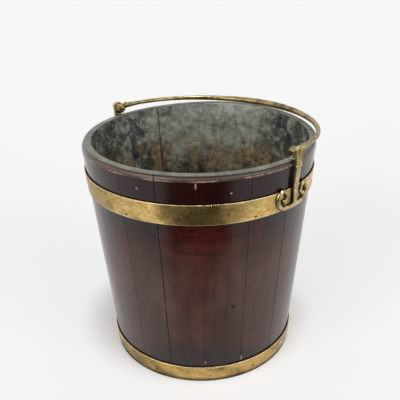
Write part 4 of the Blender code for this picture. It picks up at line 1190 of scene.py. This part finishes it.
def scroll_line():
    """Middle line and stroke of a scroll: out of the foot, round, over and in to its bulb."""
    line = [Vector((-SCROLL_STROKE / 2, SCROLL_BOTTOM + SCROLL_STROKE / 2)),
            Vector((SCROLL_CENTRE_OUT / 3, SCROLL_BOTTOM - SCROLL_STROKE / 6))]
    for step in range(1, SCROLL_STEPS + 1):
        angle = SCROLL_START + (SCROLL_END - SCROLL_START) * step / SCROLL_STEPS
        curl = max(angle - SCROLL_CURL_START, 0) / (SCROLL_END - SCROLL_CURL_START)
        line.append(on_scroll(angle, SCROLL_RADIUS + (SCROLL_END_RADIUS - SCROLL_RADIUS) * curl ** 3))
    for step in range(1, CURL_STEPS + 1):
        share = step / CURL_STEPS
        inward = (CURL_END_RADIUS - SCROLL_END_RADIUS) * (1 - (1 - share) ** 2)
        line.append(on_scroll(SCROLL_END + (CURL_END - SCROLL_END) * share, SCROLL_END_RADIUS + inward))
    strokes = [SCROLL_STROKE + (SCROLL_TIP_STROKE - SCROLL_STROKE) * index / (len(line) - 1)
               for index in range(len(line))]
    ahead = (line[-1] - line[-2]).normalized()
    bulb = line[-1] + ahead * math.sqrt(BULB_RADIUS ** 2 - SCROLL_TIP_STROKE ** 2)
    first = math.asin(SCROLL_TIP_STROKE / BULB_RADIUS)
    for step in range(1, BULB_STEPS + 1):
        angle = first + (BULB_ROUND - first) * step / BULB_STEPS
        line.append(bulb - ahead * BULB_RADIUS * math.cos(angle))
        strokes.append(BULB_RADIUS * math.sin(angle))
    return line, strokes


# %% Two scrolls, swept along their line
SCROLL_THICKNESS = 0.0048


def swept(name, points, radii, sides=6):
    """A round bar along points, with a radius at each, made a mesh."""
    curve = added(name, bpy.ops.curve.primitive_bezier_curve_add)
    curve.data.splines.clear()
    spline = curve.data.splines.new("POLY")
    spline.points.add(len(points) - 1)
    for knot, spot, radius in zip(spline.points, points, radii):
        knot.co = (*spot, 1)
        knot.radius = radius
    curve.data.dimensions = "3D"
    curve.data.bevel_depth = 1.0
    curve.data.bevel_resolution = sides
    curve.data.use_fill_caps = True
    only(curve)
    bpy.ops.object.convert(target="MESH")
    return bpy.context.object


def make_scroll(side):
    """Sweep the line, cut its back off flat and give it its height."""
    line, strokes = scroll_line()
    scroll = swept("scroll", [(side * spot.x, spot.y, 0) for spot in line], strokes)
    edit(scroll)
    pick(scroll, "verts", lambda v: v.co.z < 0)
    bpy.ops.transform.resize(value=(1, 1, 0), center_override=CENTRE)
    bpy.ops.mesh.select_all(action="SELECT")
    bpy.ops.transform.resize(value=(1, 1, SCROLL_THICKNESS / SCROLL_STROKE), center_override=CENTRE)
    outward(scroll)
    return scroll


scrolls = [make_scroll(1), make_scroll(-1)]
print("scroll corners", [len(scroll.data.vertices) for scroll in scrolls])

# %% One skin, and the left bracket as its mirror image
BRACKET_VOXEL = 0.00035
SOFTENING = 3


def make_casting(name, parts, voxel):
    """Join closed parts, remesh them into one skin and soften it."""
    only(*parts)
    bpy.ops.object.join()
    casting = bpy.context.object
    casting.name = name
    casting.data.name = name
    skin = casting.modifiers.new("One skin", "REMESH")
    skin.mode = "VOXEL"
    skin.voxel_size = voxel
    soften = casting.modifiers.new("Soften", "SMOOTH")
    soften.iterations = SOFTENING
    settle(casting)
    return casting


def mirrored(piece, name):
    """The same shape on the other side, with its faces turned outwards again."""
    twin = copied(piece, name)
    twin.scale.x = -1
    settle(twin)
    outward(twin)
    return twin


def keep_casting(casting, material, body, replaced):
    """Shade a casting smooth all over and keep it."""
    casting.data.materials.clear()
    casting.data.materials.append(material)
    only(casting)
    bpy.ops.object.shade_smooth()
    keep(casting, body, replaced)


BRACKET_NODES = (("bracket", ""), ("bulb_rivet", "_1"), ("bulb_rivet", "_2"), ("foot_rivet", "_1"))
parts = [strap, head, bead, lug, *scrolls]
for part in parts:
    lay_on(part)
bracket_right = make_casting("bracket_casting_right", parts, BRACKET_VOXEL)
bracket_left = mirrored(bracket_right, "bracket_casting_left")
for bracket, side in ((bracket_right, "right"), (bracket_left, "left")):
    keep_casting(bracket, BRACKET_BRASS, "root",
                 [f"{node}_{side}{number}" for node, number in BRACKET_NODES])

# %% [markdown]
# ## Pivot pins
# A round knob inside, a shank through the bail's eye, and a riveted end that was
# filed level with the field of the bracket's head. A pin is turned on a lathe,
# so its half section is drawn and spun, as a lathe would cut it.

# %% Knobbed pins
EYE_THICKNESS = 0.006
KNOB_RADIUS = 0.0066
KNOB_LENGTH = 0.0072
KNOB_STEPS = 9
KNOB_UNDERCUT = 0.0006
PIN_RADIUS = 0.003
PIN_END = HEAD_THICKNESS - HEAD_HOLLOW + 0.0003
PIN_RIVET_RADIUS = 0.0042
PIN_RIVET_DEPTH = 0.0014
knob_seat = -EYE_THICKNESS - 2 * FIT
quarter = [math.pi / 2 * step / KNOB_STEPS for step in range(KNOB_STEPS + 1)]
knob_arc = [(KNOB_RADIUS * math.sin(angle), knob_seat - KNOB_LENGTH * math.cos(angle)) for angle in quarter]
profile = knob_arc + [(KNOB_RADIUS - KNOB_UNDERCUT, knob_seat), (PIN_RADIUS, knob_seat),
                      (PIN_RADIUS, PIN_END - PIN_RIVET_DEPTH), (PIN_RIVET_RADIUS, PIN_END), (0, PIN_END)]
pivot_right = turned("knobbed_pivot_right", profile, 28)
pivot_right.matrix_world = Matrix.Translation((0, PIVOT_SHIFT, 0)) @ radial(0, HEAD_BACK, PIVOT_HEIGHT)
settle(pivot_right)
pivot_left = mirrored(pivot_right, "knobbed_pivot_left")
for pivot, side in ((pivot_right, "right"), (pivot_left, "left")):
    pivot.data.materials.append(BAIL_BRASS)
    smooth(pivot, 40)
    keep(pivot, "root", [f"pivot_pin_{side}"])

# %% [markdown]
# ## The bail
# The rod is forged thin at its ends, with a collar, and swells to the grip. A
# round profile on a curve can change its thickness from point to point, so the
# rod is swept along the same line as the CAD rod. Each end is a piece of its
# own: an eye that turns on the pin, a heel that stops the bail on the lug, and
# a neck that swells to the collar. It is remeshed, as the brackets are.

# %% Rod
EYE_RADIUS = 0.0068
EYE_CENTRE = HEAD_BACK - FIT - EYE_THICKNESS / 2
BAIL_REACH = 0.1920
ROD_END_RISE = 0.0016
ROD_BACK_DROP = 0.0040
ROD_END_RADIUS = 0.0051
ROD_NARROW_RADIUS = 0.0035
ROD_GRIP_RADIUS = 0.0057
ROD_GRIP_SHARPNESS = 4
ROD_FLARE_LENGTH = 0.035
ROD_BULGE = 0.0028
ROD_BULGE_START = math.radians(5)
ROD_BULGE_END = math.radians(60)
ROD_START = 0.0125
ROD_STEPS = 132


def rod_radius(share):
    swell = math.sin(math.pi * share) ** ROD_GRIP_SHARPNESS
    flare = max(1 - min(share, 1 - share) * math.pi * BAIL_REACH / ROD_FLARE_LENGTH, 0)
    narrow = ROD_NARROW_RADIUS + (ROD_END_RADIUS - ROD_NARROW_RADIUS) * flare ** 1.5
    return narrow + (ROD_GRIP_RADIUS - ROD_NARROW_RADIUS) * swell


def rod_bulge(angle):
    """How far the rod bows out from its ellipse at an angle from an end."""
    share = (min(angle, math.pi - angle) - ROD_BULGE_START) / (ROD_BULGE_END - ROD_BULGE_START)
    if share < 0 or share > 1:
        return 0.0
    return math.copysign(ROD_BULGE, math.cos(angle)) * math.sin(math.pi * share)


def rod_point(share):
    first = math.asin(ROD_START / BAIL_REACH)
    angle = first + (math.pi - 2 * first) * share
    rise = ROD_END_RISE - (ROD_END_RISE + ROD_BACK_DROP) * math.sin(angle)
    return (EYE_CENTRE * math.cos(angle) + rod_bulge(angle), PIVOT_SHIFT + BAIL_REACH * math.sin(angle),
            PIVOT_HEIGHT + rise)


shares = [index / ROD_STEPS for index in range(ROD_STEPS + 1)]
rod = swept("bail_rod", [rod_point(share) for share in shares], [rod_radius(share) for share in shares], 5)
rod.data.materials.append(BAIL_BRASS)
outward(rod)
smooth(rod, 50)
keep(rod, "bail", ["bail"])

# %% Eyes, heels and collars
HEEL_LENGTH = 0.0115
HEEL_TOP = 0.0058
HEEL_BOTTOM = LUG_BOTTOM + LUG_THICKNESS + FIT - PIVOT_HEIGHT
COLLAR_START = 0.0152
COLLAR_LENGTH = 0.003
COLLAR_RADIUS = 0.0055
BAIL_VOXEL = 0.0003
# Name, radius near the eye, radius near the collar, length, and how far its middle is from the pivot.
NECKS = (("neck", 0.0028, 0.0033, 0.0140, 0.0105), ("swell", 0.0034, 0.0052, 0.0070, 0.0132))


def make_bail_end():
    """Eye, heel, neck, swell and collar of the right end, remeshed into one forging."""
    pivot = Vector((EYE_CENTRE, PIVOT_SHIFT, PIVOT_HEIGHT))
    eye = added("eye", bpy.ops.mesh.primitive_cylinder_add, vertices=48, radius=EYE_RADIUS,
                depth=EYE_THICKNESS, location=pivot, rotation=(0, math.pi / 2, 0))
    shapes = [rounded(eye, 0.0007, 2)]
    heel = added("heel", bpy.ops.mesh.primitive_cube_add, size=1,
                 location=pivot + Vector((0, HEEL_LENGTH / 2, (HEEL_BOTTOM + HEEL_TOP) / 2)),
                 scale=(EYE_THICKNESS, HEEL_LENGTH, HEEL_TOP - HEEL_BOTTOM))
    shapes.append(rounded(heel, 0.0011, 3))
    collar_at = pivot + Vector((0, COLLAR_START + COLLAR_LENGTH / 2, ROD_END_RISE))
    collar = added("collar", bpy.ops.mesh.primitive_cylinder_add, vertices=40, radius=COLLAR_RADIUS,
                   depth=COLLAR_LENGTH, location=collar_at, rotation=(math.pi / 2, 0, 0))
    shapes.append(rounded(collar, 0.0012, 3))
    for name, eye_side, collar_side, length, along in NECKS:
        neck = added(name, bpy.ops.mesh.primitive_cone_add, vertices=40, radius1=eye_side,
                     radius2=collar_side, depth=length, rotation=(-math.pi / 2, 0, 0),
                     location=pivot + Vector((0, along, ROD_END_RISE)))
        settle(neck)
        shapes.append(neck)
    return make_casting("bail_end_right", shapes, BAIL_VOXEL)


end_right = make_bail_end()
end_left = mirrored(end_right, "bail_end_left")
for end in (end_right, end_left):
    keep_casting(end, BAIL_BRASS, "bail", ["bail"])

# %% [markdown]
# ## What stays from the CAD model
# The liner's floor, the bottom boards and their dowels are plain shapes that the
# CAD model already has right, so new pieces would add nothing. They get finishes
# of their own: stained zinc for the floor, and wood that was planed, left bare
# and darkened by age.

# %% Bare wood, and finishes for the CAD nodes
def bare_wood():
    """To the eye: matt brown with 2 mm grain along X and darker stains of 60 mm."""
    material, tree, shader, place = finish("bare_aged_wood")
    grain = cloud(tree, place, (8, 500, 500), 4.0, 0.6, 0.3)
    stains = cloud(tree, place, (18, 18, 18), 4.0)
    wood = colour("6B4C35")
    for share, over in ((put(tree, "MapRange", {0: grain, 1: 0.35, 2: 0.7}), colour("463021")),
                        (put(tree, "MapRange", {0: stains, 1: 0.5, 2: 0.75, 4: 0.6}), colour("2A1D16"))):
        wood = put(tree, "Mix", {0: share, 6: wood, 7: over}, data_type="RGBA")
    plug(tree, shader, {"Base Color": wood, "Roughness": 0.75,
                        "Normal": put(tree, "Bump", {"Height": grain, "Distance": 0.0003})})
    return material


ZINC_FLOOR = zinc_floor()
BARE_WOOD = bare_wood()
for name, node in nodes.items():
    if node.hide_render:
        continue
    node.data.materials.clear()
    node.data.materials.append(ZINC_FLOOR if name.startswith("liner") else BARE_WOOD)
    print(name, "->", node.data.materials[0].name)

# %% [markdown]
# ## Floor and light
# The bucket stands on a pale sweep in a plain studio. Three broad soft lamps and
# an even room light it from all round, so a colour shows about as it is written.
# Polished wood and brass are shaped by what they mirror: the pale floor near the
# foot, the pale room at the sides, and a darker room in front, where the camera
# stands. A dark screen there would shade the floor as well. So the floor and the
# room look the same to the camera and to polish, but for polish they grow darker
# to the front.

# %% How dark the front of the room is
BACKGROUND = colour("F3F3F3")
DARK_TURN = math.radians(40.5)      # the dark side of the room is a little left of the camera
AWAY = (-math.sin(DARK_TURN), math.cos(DARK_TURN), 0.0)
SIDEWAYS = (math.cos(DARK_TURN), math.sin(DARK_TURN), 0.0)
FRONT_DARK = 0.06
WEDGE_DARK = 0.38                   # sideways over forward: all dark within this
WEDGE_PALE = 0.70                   # and all pale beyond this


def front_shade(tree, spot, near, far):
    """1 where the room is pale, FRONT_DARK in a wedge that opens to the front."""
    along = put(tree, "VectorMath", {0: spot, 1: AWAY}, operation="DOT_PRODUCT")
    across = put(tree, "VectorMath", {0: spot, 1: SIDEWAYS}, operation="DOT_PRODUCT")
    forward = put(tree, "Math", {0: along, 1: -1.0}, operation="MULTIPLY")
    slant = put(tree, "Math", {0: across, 1: forward}, operation="DIVIDE")
    slant = put(tree, "Math", {0: slant}, operation="ABSOLUTE")
    ahead = put(tree, "MapRange", {0: forward, 1: near, 2: far}, interpolation_type="SMOOTHSTEP")
    in_wedge = put(tree, "MapRange", {0: slant, 1: WEDGE_PALE, 2: WEDGE_DARK},
                   interpolation_type="SMOOTHSTEP")
    inside = put(tree, "Math", {0: ahead, 1: in_wedge}, operation="MULTIPLY")
    return put(tree, "MapRange", {0: inside, 3: 1.0, 4: FRONT_DARK})


def seen_or_mirrored(tree):
    """1 for the camera's rays, and 1 for these and for what polish or glass shows."""
    path = put(tree, "LightPath", {}).outputs
    seen = put(tree, "Math", {0: path["Is Camera Ray"], 1: path["Is Glossy Ray"]}, operation="MAXIMUM")
    seen = put(tree, "Math", {0: seen, 1: path["Is Transmission Ray"]}, operation="MAXIMUM")
    return path["Is Camera Ray"], seen


print("the room's front looks", FRONT_DARK, "times as pale in polish")

# %% Floor
FLOOR_SIZE = 60
FLOOR_GLOW = 0.305


def floor_finish():
    """Matt white paper. Part of its paleness is its own, so its shadow is light."""
    material, tree, shader, place = finish("pale_paper_floor")
    camera_ray, seen = seen_or_mirrored(tree)
    shade = put(tree, "Math", {0: front_shade(tree, place, 0.16, 0.40), 1: camera_ray}, operation="MAXIMUM")
    glowing = put(tree, "Math", {0: shade, 1: FLOOR_GLOW}, operation="MULTIPLY")
    paper = put(tree, "BsdfDiffuse", {"Color": colour("DEDEDE")})
    glow = put(tree, "Emission", {"Color": BACKGROUND, "Strength": glowing})
    pale = put(tree, "AddShader", {0: paper, 1: glow})
    dark = put(tree, "MixShader", {0: shade, 1: glow, 2: pale})
    plain = put(tree, "BsdfDiffuse", {"Color": colour("C8C8C8")})
    mixed = put(tree, "MixShader", {0: seen, 1: plain, 2: dark})
    tree.nodes.remove(shader)
    plug(tree, tree.nodes["Material Output"], {"Surface": mixed})
    return material


floor = added("paper_floor", bpy.ops.mesh.primitive_plane_add, size=FLOOR_SIZE)
floor.data.materials.append(floor_finish())
print("floor", FLOOR_SIZE, "m")

# %% World
ROOM_LIGHT = 0.25


def make_world():
    world = bpy.data.worlds.new("studio_room")
    bpy.context.scene.world = world
    world.use_nodes = True
    tree = world.node_tree
    camera_ray, seen = seen_or_mirrored(tree)
    direction = put(tree, "TexCoord", {}).outputs["Generated"]
    shade = put(tree, "Math", {0: front_shade(tree, direction, 0.0, 0.5), 1: camera_ray}, operation="MAXIMUM")
    room = put(tree, "Background", {"Color": (1, 1, 1, 1), "Strength": ROOM_LIGHT})
    pale = put(tree, "Background", {"Color": BACKGROUND, "Strength": shade})
    plug(tree, tree.nodes["World Output"], {"Surface": put(tree, "MixShader", {0: seen, 1: room, 2: pale})})


make_world()
print("room light", ROOM_LIGHT)

# %% Soft lamps
def soft_lamp(name, azimuth, elevation, spread, strength):
    """A distant broad lamp, placed by the photo's own directions: 0 is right, 90 is away."""
    lamp = added(name, bpy.ops.object.light_add, type="SUN")
    turn_by = math.radians(azimuth) + PHOTO_TURN
    rise = math.radians(elevation)
    out = Vector((math.cos(turn_by) * math.cos(rise), math.sin(turn_by) * math.cos(rise), math.sin(rise)))
    lamp.rotation_mode = "QUATERNION"
    lamp.rotation_quaternion = (-out).to_track_quat("-Z", "Y")
    lamp.data.angle = math.radians(spread)
    lamp.data.energy = strength
    print(name, strength)


soft_lamp("lamp_above", -72, 82, 12, 1.5)
soft_lamp("lamp_left", -135, 20, 40, 0.9)
soft_lamp("lamp_right", -40, 20, 40, 0.6)

# %% [markdown]
# ## Finish

# %% The last line
bpy.context.scene.view_settings.view_transform = "Standard"
